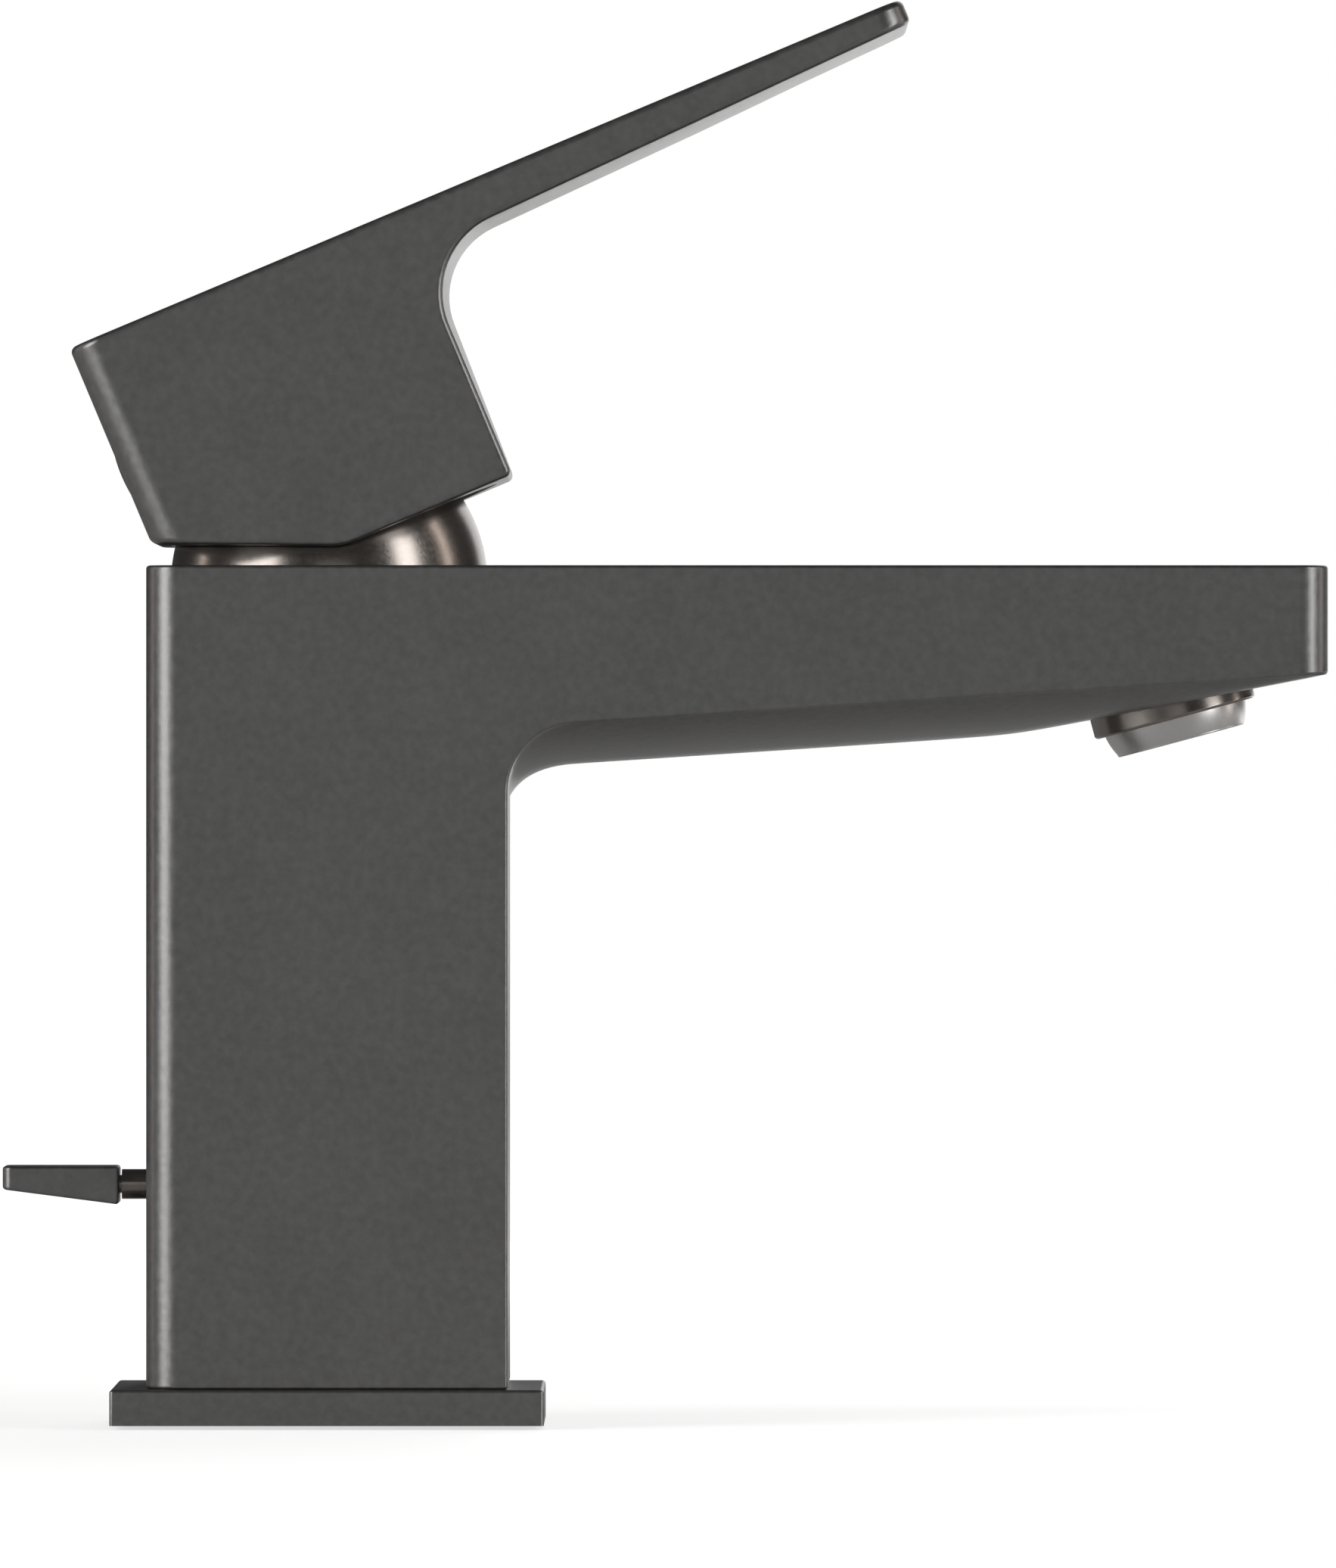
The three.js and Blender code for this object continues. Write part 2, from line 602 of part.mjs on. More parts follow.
// A flat ring under one inlet of the cartridge. The side is -1 for hot and 1 for cold.
function inletSeal(side) {
  const y = (side * INLET_SPACING) / 2;
  const top = CHAMBER_FLOOR + PORT_SEAL_HEIGHT;
  return cut(
    cylinder(PORT_SEAL_RADIUS, CHAMBER_FLOOR, top, SMALL_SIDES, INLET_X, y),
    cylinder(WATERWAY_RADIUS, CHAMBER_FLOOR - OVERRUN, top + OVERRUN, SMALL_SIDES, INLET_X, y),
  );
}

function fixedDisc() {
  const [low, high] = [fixedDiscBottom - OVERRUN, movingDiscBottom + OVERRUN];
  return cut(
    cylinder(FIXED_DISC_RADIUS, fixedDiscBottom, movingDiscBottom),
    ...inletTools(WATERWAY_RADIUS, low, high),
    cylinder(OUTLET_CHANNEL_WIDTH / 2, low, high, SMALL_SIDES, OUTLET_CHANNEL_WIDTH),
  );
}

// The sliding disc about its own axis, with the pocket that joins the inlets to the outlet.
function movingDisc() {
  return cut(
    cylinder(MOVING_DISC_RADIUS, movingDiscBottom, driverBottom),
    cylinder(MIXING_POCKET_RADIUS, movingDiscBottom - OVERRUN, movingDiscBottom + MIXING_POCKET_DEPTH),
  );
}

// The disc's plastic driver about the disc's axis. Its socket is off that axis by half the disc's travel.
function discDriver() {
  const top = driverBottom + DRIVER_HEIGHT;
  const offset = discTravel / 2;
  const socket = SPINDLE_BALL_RADIUS + BALL_PLAY;
  const floor = PIVOT_HEIGHT - SPINDLE_ARM_LENGTH - socket;
  return cut(
    join(
      cylinder(MOVING_DISC_RADIUS, driverBottom, driverBottom + DRIVER_PLATE_HEIGHT),
      cylinder(DRIVER_HUB_RADIUS, driverBottom, top, ROUND_SIDES, offset),
    ),
    cylinder(socket, floor, top + OVERRUN, SMALL_SIDES, offset),
  );
}

function cartridgeHousing() {
  const roof = SHOULDER_HEIGHT - SHOULDER_THICKNESS;
  const grooveHalf = CHAMBER_RING_TUBE + RUNNING;
  const groove = [CHAMBER_RING_HEIGHT - grooveHalf, CHAMBER_RING_HEIGHT + grooveHalf];
  const grooveRadius = CHAMBER_RADIUS - RUNNING - 2 * CHAMBER_RING_TUBE - RUNNING;
  return turned([
    [DISC_CAVITY_RADIUS, fixedDiscBottom],
    [CARTRIDGE_RADIUS, fixedDiscBottom],
    [CARTRIDGE_RADIUS, groove[0]],
    [grooveRadius, groove[0]],
    [grooveRadius, groove[1]],
    [CARTRIDGE_RADIUS, groove[1]],
    [CARTRIDGE_RADIUS, SHOULDER_HEIGHT],
    [NECK_RADIUS, SHOULDER_HEIGHT],
    [NECK_RADIUS, NECK_TOP],
    [NECK_BORE_RADIUS, NECK_TOP],
    [NECK_BORE_RADIUS, roof],
    [DISC_CAVITY_RADIUS, roof],
  ]);
}

function chamberRing() {
  return torus(CHAMBER_RADIUS - RUNNING - CHAMBER_RING_TUBE, CHAMBER_RING_TUBE, CHAMBER_RING_HEIGHT);
}

// The ring that clamps the cartridge down, with a groove for the dome's ring and four slots for its key.
function cartridgeNut() {
  const threadTop = SHOULDER_HEIGHT + NUT_THREAD_HEIGHT;
  const top = threadTop + NUT_COLLAR_HEIGHT;
  const grooveLow = domeRingHeight() - DOME_RING_TUBE - RUNNING;
  const grooveHigh = domeRingHeight() + DOME_RING_TUBE + RUNNING;
  const grooveRadius = domeRingRadius() - DOME_RING_TUBE - RUNNING;
  const ring = turned([
    [NUT_BORE_RADIUS, SHOULDER_HEIGHT],
    [NUT_RADIUS, SHOULDER_HEIGHT],
    [NUT_RADIUS, threadTop],
    [NUT_COLLAR_RADIUS, threadTop],
    [NUT_COLLAR_RADIUS, grooveLow],
    [grooveRadius, grooveLow],
    [grooveRadius, grooveHigh],
    [NUT_COLLAR_RADIUS, grooveHigh],
    [NUT_COLLAR_RADIUS, top],
    [NUT_BORE_RADIUS, top],
  ]);
  const inner = NUT_BORE_RADIUS - OVERRUN;
  const outer = NUT_BORE_RADIUS + (grooveRadius - NUT_BORE_RADIUS) / 2;
  const slotSide = NUT_SLOT_WIDTH / 2;
  const slots = [0, 1, 2, 3].map((quarter) =>
    block(inner, outer, -slotSide, slotSide, threadTop, top + OVERRUN).rotateZ((quarter * Math.PI) / 2),
  );
  return cut(ring, ...slots);
}

// The ring on the cartridge's neck with the tooth that limits the hot side.
function temperatureStop() {
  const low = SHOULDER_HEIGHT + NUT_THREAD_HEIGHT + NUT_COLLAR_HEIGHT + GAP;
  const high = low + STOP_RING_HEIGHT;
  const tooth = block(
    NECK_RADIUS + OVERRUN,
    STOP_RING_RADIUS - GAP,
    -STOP_TOOTH_WIDTH / 2,
    STOP_TOOTH_WIDTH / 2,
    low,
    high + STOP_TOOTH_HEIGHT,
  );
  const ring = cut(
    cylinder(STOP_RING_RADIUS, low, high),
    cylinder(NECK_RADIUS + RUNNING, low - OVERRUN, high + OVERRUN),
  );
  return join(ring, tooth);
}

// ---------------------------------------------------------------- dome
function domeBoreRadius() {
  return NUT_COLLAR_RADIUS + DOME_RING_TUBE + GAP + RUNNING;
}

function domeRingRadius() {
  return domeBoreRadius() - RUNNING - DOME_RING_TUBE;
}

function domeRingHeight() {
  return SHOULDER_HEIGHT + NUT_THREAD_HEIGHT + NUT_COLLAR_HEIGHT / 2;
}

// Angle above the horizontal at which a circle about the dome's centre reaches a radius from the axis.
function domeAngle(radius, fromAxis) {
  return THREE.MathUtils.radToDeg(Math.acos(fromAxis / radius));
}

function domeCap() {
  const inside = DOME_RADIUS - DOME_WALL;
  const rimAngle = THREE.MathUtils.radToDeg(Math.asin((domeSeat - DOME_CENTRE) / DOME_RADIUS));
  const openingAngle = domeAngle(DOME_RADIUS, DOME_OPENING_RADIUS);
  const boreAngle = domeAngle(inside, domeBoreRadius());
  return turned([
    ...arc(0, DOME_CENTRE, DOME_RADIUS, rimAngle, openingAngle, 6),
    ...arc(0, DOME_CENTRE, inside, domeAngle(inside, DOME_OPENING_RADIUS - DOME_WALL / 2), boreAngle, 5),
    [domeBoreRadius(), domeSeat],
  ]);
}

function domeRing() {
  return torus(domeRingRadius(), DOME_RING_TUBE, domeRingHeight());
}

// ---------------------------------------------------------------- the turning carrier and its pin
function cartridgeCarrier() {
  const slot = spindleSlot / 2;
  const back = SPINDLE_KNUCKLE_RADIUS + GAP;
  return cut(
    cylinder(CARRIER_RADIUS, CARRIER_BOTTOM, CARRIER_TOP),
    block(-back, CARRIER_RADIUS + OVERRUN, -slot, slot, CARRIER_BOTTOM - OVERRUN, CARRIER_TOP + OVERRUN),
    across(PIN_RADIUS + RUNNING, PIVOT_HEIGHT, 2 * CARRIER_RADIUS + OVERRUN),
  );
}

// A cylinder along Y through the axis of the column.
function across(radius, height, length) {
  return new THREE.CylinderGeometry(radius, radius, length, SMALL_SIDES).translate(0, 0, height);
}

// ---------------------------------------------------------------- lever, all in the closed lever's place
function leverSide() {
  const taper = Math.tan(radians(BLADE_TAPER));
  const tipUnder = LEVER_TOP - BLADE_TIP_THICKNESS;
  return outline([
    [columnBack, LEVER_BACK_BOTTOM],
    [LEVER_KINK_X, LEVER_BOTTOM, LEVER_EDGE_RADIUS * 2],
    [LEVER_NECK_FRONT, LEVER_BOTTOM],
    [LEVER_NECK_FRONT, tipUnder - (LEVER_REACH - LEVER_NECK_FRONT) * taper, LEVER_INNER_RADIUS],
    [LEVER_REACH, tipUnder, LEVER_EDGE_RADIUS],
    [LEVER_REACH, LEVER_TOP, LEVER_EDGE_RADIUS],
    [columnBack, LEVER_TOP, LEVER_EDGE_RADIUS],
  ]);
}

// The hollow of the lever: the dome's sphere, grown by its clearance, in three places along the lift.
function leverHollow() {
  const spheres = [0, 0.5, 1].map((share) => {
    const angle = radians(LIFT_ANGLE * share);
    const drop = PIVOT_HEIGHT - DOME_CENTRE;
    const radius = DOME_RADIUS + DOME_CLEARANCE;
    return sphere(radius, -drop * Math.sin(angle), PIVOT_HEIGHT - drop * Math.cos(angle), ROUND_SIDES);
  });
  const reach = COLUMN_SIZE;
  return common(join(...spheres), block(-reach, reach, -reach, reach, BODY_TOP - reach, LEVER_CAVITY_ROOF));
}

// A turned shape about Z, laid so that its top faces back along X at the lever's set screw.
function facingBack(geometry) {
  return geometry.rotateY(-Math.PI / 2).translate(columnBack, 0, GRUB_HEIGHT);
}

function leverHandle() {
  const socket = SPINDLE_SQUARE / 2 + RUNNING;
  return cut(
    common(
      crosswise(leverSide(), -halfWidth, halfWidth),
      upright(
        rectangle(columnBack, LEVER_REACH, -halfWidth, halfWidth, LEVER_CORNER_RADIUS),
        LEVER_BOTTOM - OVERRUN,
        LEVER_TOP + OVERRUN,
      ),
    ),
    leverHollow(),
    block(-socket, socket, -socket, socket, LEVER_CAVITY_ROOF - OVERRUN, SPINDLE_TOP + GAP),
    facingBack(cylinder(GRUB_RADIUS + GAP, -halfWidth, OVERRUN, SMALL_SIDES)),
    facingBack(cylinder(PLUG_RADIUS + GAP, -PLUG_DEPTH - GAP, OVERRUN, ROUND_SIDES)),
  );
}

function spindle() {
  const square = SPINDLE_SQUARE / 2;
  const half = SPINDLE_THICKNESS / 2;
  const ballHeight = PIVOT_HEIGHT - SPINDLE_ARM_LENGTH;
  const body = join(
    block(-square, square, -square, square, SPINDLE_SQUARE_BOTTOM, SPINDLE_TOP),
    block(-half, half, -half, half, PIVOT_HEIGHT - SPINDLE_KNUCKLE_RADIUS, SPINDLE_SQUARE_BOTTOM + OVERRUN),
    across(SPINDLE_KNUCKLE_RADIUS, PIVOT_HEIGHT, SPINDLE_THICKNESS),
    cylinder(SPINDLE_ARM_RADIUS, ballHeight, PIVOT_HEIGHT, SMALL_SIDES),
    sphere(SPINDLE_BALL_RADIUS, 0, ballHeight),
  );
  return cut(body, across(PIN_RADIUS + RUNNING, PIVOT_HEIGHT, COLUMN_SIZE));
}

function grubScrew() {
  const inner = -(halfWidth - SPINDLE_SQUARE / 2 - GAP);
  const hexagon = GRUB_RADIUS / 2;
  return facingBack(
    cut(
      cylinder(GRUB_RADIUS, inner, inner + GRUB_LENGTH, SMALL_SIDES),
      cylinder(hexagon, inner + GRUB_LENGTH / 2, inner + GRUB_LENGTH + OVERRUN, 6),
    ),
  );
}

// The round lens that covers the set screw.
function indexPlug() {
  const bulge = (PLUG_RADIUS ** 2 + PLUG_PROUD ** 2) / (2 * PLUG_PROUD);
  const edge = THREE.MathUtils.radToDeg(Math.acos(PLUG_RADIUS / bulge));
  return facingBack(
    turned([
      [0, -PLUG_DEPTH - PLUG_STEM_LENGTH],
      [PLUG_STEM_RADIUS, -PLUG_DEPTH - PLUG_STEM_LENGTH],
      [PLUG_STEM_RADIUS, -PLUG_DEPTH],
      [PLUG_RADIUS, -PLUG_DEPTH],
      ...arc(0, PLUG_PROUD - bulge, bulge, edge, 90, 4).slice(0, -1),
      [0, PLUG_PROUD],
    ]),
  );
}

// ---------------------------------------------------------------- aerator, about its own axis
function aeratorCollar() {
  return turned([
    [COLLAR_LIP_RADIUS, 0],
    [COLLAR_RADIUS, 0, COLLAR_RIM_RADIUS],
    [COLLAR_RADIUS, COLLAR_HEIGHT],
    [COLLAR_BORE_RADIUS, COLLAR_HEIGHT],
    [COLLAR_BORE_RADIUS, COLLAR_LIP_HEIGHT],
    [COLLAR_LIP_RADIUS, COLLAR_LIP_HEIGHT],
  ]);
}

function seatRing() {
  const outside = COLLAR_BORE_RADIUS - GAP;
  const seat = NOZZLE_RADIUS + GAP;
  const angle = (height) => THREE.MathUtils.radToDeg(Math.asin((height - NOZZLE_CENTRE) / seat));
  return turned([
    ...arc(0, NOZZLE_CENTRE, seat, angle(SEAT_LIP), angle(SEAT_BOTTOM), 4),
    [outside, SEAT_BOTTOM],
    [outside, SEAT_TOP],
    [SEAT_BORE_RADIUS, SEAT_TOP],
    [SEAT_BORE_RADIUS, SEAT_LIP],
  ]);
}

function aeratorWasher() {
  const outside = COLLAR_BORE_RADIUS - GAP;
  const low = SEAT_TOP + GAP;
  return turned(ringProfile(WASHER_BORE_RADIUS, outside, low, low + WASHER_HEIGHT));
}

function ringProfile(inside, outside, low, high) {
  return [[inside, low], [outside, low], [outside, high], [inside, high]];
}

function swivelNozzle() {
  const angle = (height) => THREE.MathUtils.radToDeg(Math.asin(height / NOZZLE_RADIUS));
  const top = NOZZLE_CENTRE + NOZZLE_RISE;
  return turned([
    [NOZZLE_LIP_RADIUS, -NOZZLE_DROP],
    ...arc(0, NOZZLE_CENTRE, NOZZLE_RADIUS, angle(-NOZZLE_DROP - NOZZLE_CENTRE), angle(NOZZLE_RISE), 8),
    [NOZZLE_BORE_RADIUS, top],
    [NOZZLE_BORE_RADIUS, -NOZZLE_DROP + NOZZLE_LIP_HEIGHT],
    [NOZZLE_LIP_RADIUS, -NOZZLE_DROP + NOZZLE_LIP_HEIGHT],
  ]);
}

function gridBottom() {
  return -NOZZLE_DROP + NOZZLE_LIP_HEIGHT + GAP / 2;
}

function outletGrid() {
  const low = gridBottom();
  const radius = NOZZLE_BORE_RADIUS - GAP / 2;
  const pitch = (2 * (radius - OVERRUN)) / GRID_SLOTS;
  const slots = Array.from({ length: GRID_SLOTS }, (_, k) => {
    const x = (k - (GRID_SLOTS - 1) / 2) * pitch;
    const side = Math.sqrt((radius - OVERRUN) ** 2 - x ** 2);
    const half = GRID_SLOT_WIDTH / 2;
    return block(x - half, x + half, -side, side, low - OVERRUN, low + GRID_THICKNESS + OVERRUN);
  });
  return cut(cylinder(radius, low, low + GRID_THICKNESS), ...slots);
}

function flowInsert() {
  const low = gridBottom() + GRID_THICKNESS + GAP / 2;
  const radius = NOZZLE_BORE_RADIUS - GAP / 2;
  const circle = radius - INSERT_HOLE_RADIUS - OVERRUN;
  const holes = Array.from({ length: INSERT_HOLES }, (_, k) => {
    const angle = (2 * Math.PI * k) / INSERT_HOLES;
    const [x, y] = [circle * Math.cos(angle), circle * Math.sin(angle)];
    return cylinder(INSERT_HOLE_RADIUS, low - OVERRUN, low + INSERT_HEIGHT + OVERRUN, 8, x, y);
  });
  return cut(cylinder(radius, low, low + INSERT_HEIGHT), ...holes);
}

// ---------------------------------------------------------------- lift rod, bush and knob
// A cylinder along X on the axis of the rod's neck.
function along(radius, back, front) {
  const geometry = new THREE.CylinderGeometry(radius, radius, front - back, SMALL_SIDES);
  return geometry.rotateZ(Math.PI / 2).translate((back + front) / 2, 0, ROD_AXIS_HEIGHT);
}

function liftRod() {
  const neckEnd = knobFront + GAP;
  return cut(
    join(
      cylinder(ROD_RADIUS, ROD_FOOT, ROD_AXIS_HEIGHT, SMALL_SIDES, ROD_X),
      sphere(ROD_RADIUS, ROD_X, ROD_AXIS_HEIGHT),
      along(ROD_RADIUS, neckEnd, ROD_X),
      along(SPIGOT_RADIUS, knobFront - SPIGOT_LENGTH, neckEnd + OVERRUN),
    ),
    cylinder(ROD_SOCKET_RADIUS, ROD_FOOT - OVERRUN, ROD_FOOT + ROD_SOCKET_DEPTH, 8, ROD_X),
  );
}

function rodGuide() {
  const top = WEB_BOTTOM + WEB_THICKNESS;
  return turned([
    [ROD_RADIUS + RUNNING, WEB_BOTTOM],
    [BUSH_RADIUS, WEB_BOTTOM],
    [BUSH_RADIUS, top],
    [BUSH_FLANGE_RADIUS, top],
    [BUSH_FLANGE_RADIUS, top + BUSH_FLANGE_HEIGHT],
    [ROD_RADIUS + RUNNING, top + BUSH_FLANGE_HEIGHT],
  ], SMALL_SIDES).translate(ROD_X, 0, 0);
}

function liftKnob() {
  const side = KNOB_WIDTH / 2;
  const blank = outline([
    [KNOB_BACK, KNOB_TOP - KNOB_THIN],
    [knobFront, KNOB_TOP - KNOB_THICK],
    [knobFront, KNOB_TOP],
    [KNOB_BACK, KNOB_TOP],
  ]);
  const socket = along(SPIGOT_RADIUS + RUNNING, knobFront - SPIGOT_LENGTH - GAP, knobFront + OVERRUN);
  return cut(crosswise(blank, -side, side), socket);
}

// ---------------------------------------------------------------- assembly
function faucetBody() {
  const group = new THREE.Group();
  group.add(
    piece("body_casting", bodyCasting(), graphite),
    piece("inlet_manifold", inletManifold(), brass),
    piece("base_plate", basePlate(), graphite),
    piece("base_gasket", baseGasket(), rubber),
    piece("plate_seal", sealRing(0, PLATE_THICKNESS - SEAL_DEPTH, PLATE_THICKNESS), rubber),
    piece("rod_guide", rodGuide(), whitePlastic),
    piece("cartridge_base", cartridgeBase(), greyPlastic),
    piece("inlet_seal_hot", inletSeal(-1), rubber),
    piece("inlet_seal_cold", inletSeal(1), rubber),
    piece("fixed_disc", fixedDisc(), ceramic),
    piece("cartridge_housing", cartridgeHousing(), whitePlastic),
    piece("chamber_o_ring", chamberRing(), rubber),
    piece("cartridge_nut", cartridgeNut(), brass),
    piece("temperature_stop", temperatureStop(), redPlastic),
    piece("dome_cap", domeCap(), darkChrome),
    piece("dome_o_ring", domeRing(), rubber),
  );
  return group;
}

function discGroup() {
  const group = new THREE.Group();
  group.position.x = discTravel / 2;
  group.add(
    piece("moving_disc", movingDisc(), ceramic),
    piece("disc_driver", discDriver(), whitePlastic),
  );
  return group;
}

function carrierGroup() {
  const group = new THREE.Group();
  group.add(
    piece("cartridge_carrier", cartridgeCarrier(), whitePlastic),
    piece("pivot_pin", across(PIN_RADIUS, PIVOT_HEIGHT, PIN_LENGTH), steel),
  );
  return group;
}

// The lever's pieces hang below the pivot in a group of their own, so that the outer group turns about it.
function leverGroup() {
  const closed = new THREE.Group();
  closed.position.z = -PIVOT_HEIGHT;
  closed.add(
    piece("lever_handle", leverHandle(), graphite),
    piece("spindle", spindle(), brass),
    piece("grub_screw", grubScrew(), steel),
    piece("index_plug", indexPlug(), darkChrome),
  );
  const group = new THREE.Group();
  group.position.z = PIVOT_HEIGHT;
  group.rotation.y = -radians(LIFT_ANGLE);
  group.add(closed);
  return group;
}

function aeratorGroup() {
  const group = new THREE.Group();
  group.position.set(AERATOR_X, 0, AERATOR_Z);
  group.rotation.y = -radians(AERATOR_TILT);
  group.add(
    piece("aerator_collar", aeratorCollar(), darkChrome),
    piece("aerator_washer", aeratorWasher(), rubber),
    piece("seat_ring", seatRing(), whitePlastic),
    piece("swivel_nozzle", swivelNozzle(), satinNickel),
    piece("flow_insert", flowInsert(), whitePlastic),
    piece("outlet_grid", outletGrid(), greyPlastic),
  );
  return group;
}

function liftGroup() {
  const group = new THREE.Group();
  group.add(piece("lift_rod", liftRod(), darkChrome), piece("lift_knob", liftKnob(), graphite));
  return group;
}

const faucet = new THREE.Group();
faucet.add(faucetBody(), discGroup(), carrierGroup(), leverGroup(), aeratorGroup(), liftGroup());

export default faucet;
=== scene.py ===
"""The looks of a single-lever basin mixer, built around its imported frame."""

import json
import math

import bmesh
import bpy
from bpy.props import FloatProperty, FloatVectorProperty, PointerProperty
from bpy.types import Operator, Panel, PropertyGroup
from mathutils import Matrix, Vector


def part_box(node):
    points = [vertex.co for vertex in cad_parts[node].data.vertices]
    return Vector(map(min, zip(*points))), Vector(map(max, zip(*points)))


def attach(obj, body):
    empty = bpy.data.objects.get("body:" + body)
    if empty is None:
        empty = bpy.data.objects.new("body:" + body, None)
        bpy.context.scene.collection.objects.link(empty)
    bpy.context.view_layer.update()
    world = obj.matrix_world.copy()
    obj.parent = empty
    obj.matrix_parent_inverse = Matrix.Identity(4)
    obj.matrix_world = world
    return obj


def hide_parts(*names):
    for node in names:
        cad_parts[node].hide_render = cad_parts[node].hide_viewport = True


bl_info = {
    "name": "Basin mixer",
    "version": (1, 0, 0),
    "blender": (4, 5, 0),
    "location": "View3D > Sidebar > Mixer",
    "description": "Builds a single-lever basin mixer around its frame, with its finishes and a stage",
    "category": "Object",
}

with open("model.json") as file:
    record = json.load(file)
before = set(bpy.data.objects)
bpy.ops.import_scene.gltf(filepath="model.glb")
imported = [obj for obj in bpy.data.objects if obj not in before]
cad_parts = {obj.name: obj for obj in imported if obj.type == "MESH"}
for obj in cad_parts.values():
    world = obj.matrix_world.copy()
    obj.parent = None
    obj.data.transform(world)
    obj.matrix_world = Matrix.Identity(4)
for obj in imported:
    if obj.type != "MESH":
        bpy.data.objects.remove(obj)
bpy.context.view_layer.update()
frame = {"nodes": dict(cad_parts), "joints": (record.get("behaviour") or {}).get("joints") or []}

MM = 0.001
NEAR = 0.02 * MM  # two places closer than this are the same place

BODY_LOW, BODY_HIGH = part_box("body_casting")
HALF = BODY_HIGH.y  # half of the column's side and of the spout's width
JOINTS = {joint["name"]: joint for joint in frame["joints"]}
PIVOT = Vector(JOINTS["lever_lift"]["pos_m"])
TILT_PIVOT = Vector(JOINTS["nozzle_tilt"]["pos_m"])
OUTLET_AXIS = Vector(JOINTS["nozzle_spin"]["axis"]).normalized()
OUTLET_LEAN = math.radians(-15)  # turn of the aerator about Y

GAP = 0.3 * MM  # between a piece and the pocket that holds it
OVER = 2 * MM  # how far a cutting shape reaches past what it cuts
MERGE = 2e-6  # vertices closer than this are joined
FINE_STEPS = 5  # segments of a fine rounding
LARGE_STEPS = 12  # segments of a corner that shows
FILLET_STEPS = 14
SMALL_SIDES = 32  # of a small bore
BORE_SIDES = 48
ROUND_SIDES = 96
WIDE_SIDES = 128

# The inside of the column: a web across it, open at the front, with the bush of the lift rod.
WEB_LOW = 20.6 * MM
WEB_HIGH = 25.8 * MM
WEB_FRONT = -9.3 * MM
CAVITY_TOP = 76 * MM
BUSH_BORE = 3.5 * MM
COLLAR_POCKET = 12 * MM  # how far the collar's pocket reaches below its rim
SPOUT_LOWEST = 60 * MM  # the spout's underside lies above this height

PLATE_ROD_BORE = 2.9 * MM
FOOT_CORNER = 3.3 * MM

SPINDLE_SOCKET = 4.15 * MM  # half of the square socket's side
SPINDLE_SOCKET_TOP = 138.3 * MM
SCREW_BORE = 2.3 * MM
PLUG_POCKET = 1.2 * MM
PLUG_STEM = 1.8 * MM
PLUG_BACK = -0.9 * MM
PLUG_STEM_LENGTH = 4 * MM

KNOB_CORNER = 1.2 * MM
KNOB_BORE = 1.3 * MM
KNOB_BORE_DEPTH = 6.3 * MM
SPIGOT_RADIUS = 1.15 * MM
ROD_SOCKET = 1.1 * MM
ROD_SOCKET_DEPTH = 8 * MM

DOME_BORE = 18.45 * MM
COLLAR_WALL = 0.65 * MM
COLLAR_FLOOR = 0.5 * MM
COLLAR_EDGE = 0.4 * MM
LIP_EDGE = 0.12 * MM
NOZZLE_RIM = 0.5 * MM
NOZZLE_MOUTH = 0.6 * MM
MESH_RING = 1 * MM  # width of the ring around the wires
MESH_THICK = 0.8 * MM
WIRE = 0.34 * MM


def length(title, about, default):
    """A size in the sidebar, given in millimetres and kept in metres."""
    return FloatProperty(name=title, description=about, default=default * MM, unit="LENGTH", precision=5)


def angle(title, about, default):
    """An angle in the sidebar, given in degrees and kept in radians."""
    return FloatProperty(name=title, description=about, default=math.radians(default), subtype="ANGLE")


def colour(title, about, default):
    """A linear colour in the sidebar."""
    return FloatVectorProperty(
        name=title, description=about, default=default, size=3, min=0, max=1, subtype="COLOR"
    )


# ------------------------------------------------------------------ sizes and colours


class MixerBodySizes(PropertyGroup):
    tip_height: length("Tip height", "Height of the spout's tip face", 13.75)
    edge_slope: angle("Edge slope", "Rise of the spout's lower side edge", 3.7)
    root_radius: length("Root radius", "Fillet between the column and the spout's side edge", 8.6)
    back_corner: length("Back corner", "Radius of the column's back corners", 4.3)
    tip_corner: length("Tip corner", "Radius of the spout's tip corners", 4.0)
    edge_radius: length("Edge radius", "Rounding of the fine edges", 0.45)
    belly_depth: length("Belly depth", "How far the spout's underside bulges below its side edges", 5.1)
    belly_land: length("Belly land", "Flat along each side edge, outside the bulge", 0.6)
    belly_root_run: length("Belly root run", "Length of the curve that joins the belly to the column", 8.5)
    belly_root_drop: length("Belly root drop", "How far that curve starts below the belly's line", 3.85)
    belly_root_lean: angle("Belly root lean", "Angle off the column's face where the curve starts", 25)
    outlet_slope: angle("Outlet slope", "Slope of the flat that carries the aerator", 11)
    dome_gap: length("Dome gap", "Gap around the dome in the body's top", 0.3)
    dome_seat: length("Dome seat", "Depth of the dome's seat", 1.15)
    chamber_depth: length("Chamber depth", "Depth of the cartridge chamber that is modelled", 26.35)
    chamber_radius: length("Chamber radius", "Radius of the cartridge chamber", 18.2)
    wall: length("Wall", "Wall of the hollow column", 3.2)
    slot_width: length("Slot width", "Width of the lift rod's slot in the column's back", 4.4)
    slot_height: length("Slot height", "Height of that slot", 24.4)


class MixerPlateSizes(PropertyGroup):
    edge_radius: length("Edge radius", "Rounding of the plate's top edge", 0.45)
    gasket_margin: length("Gasket margin", "Rim of the plate outside its gasket", 2.0)
    gasket_depth: length("Gasket depth", "Depth of the gasket's recess", 1.5)
    foot_gap: length("Foot gap", "Gap around the foot in the plate", 0.3)


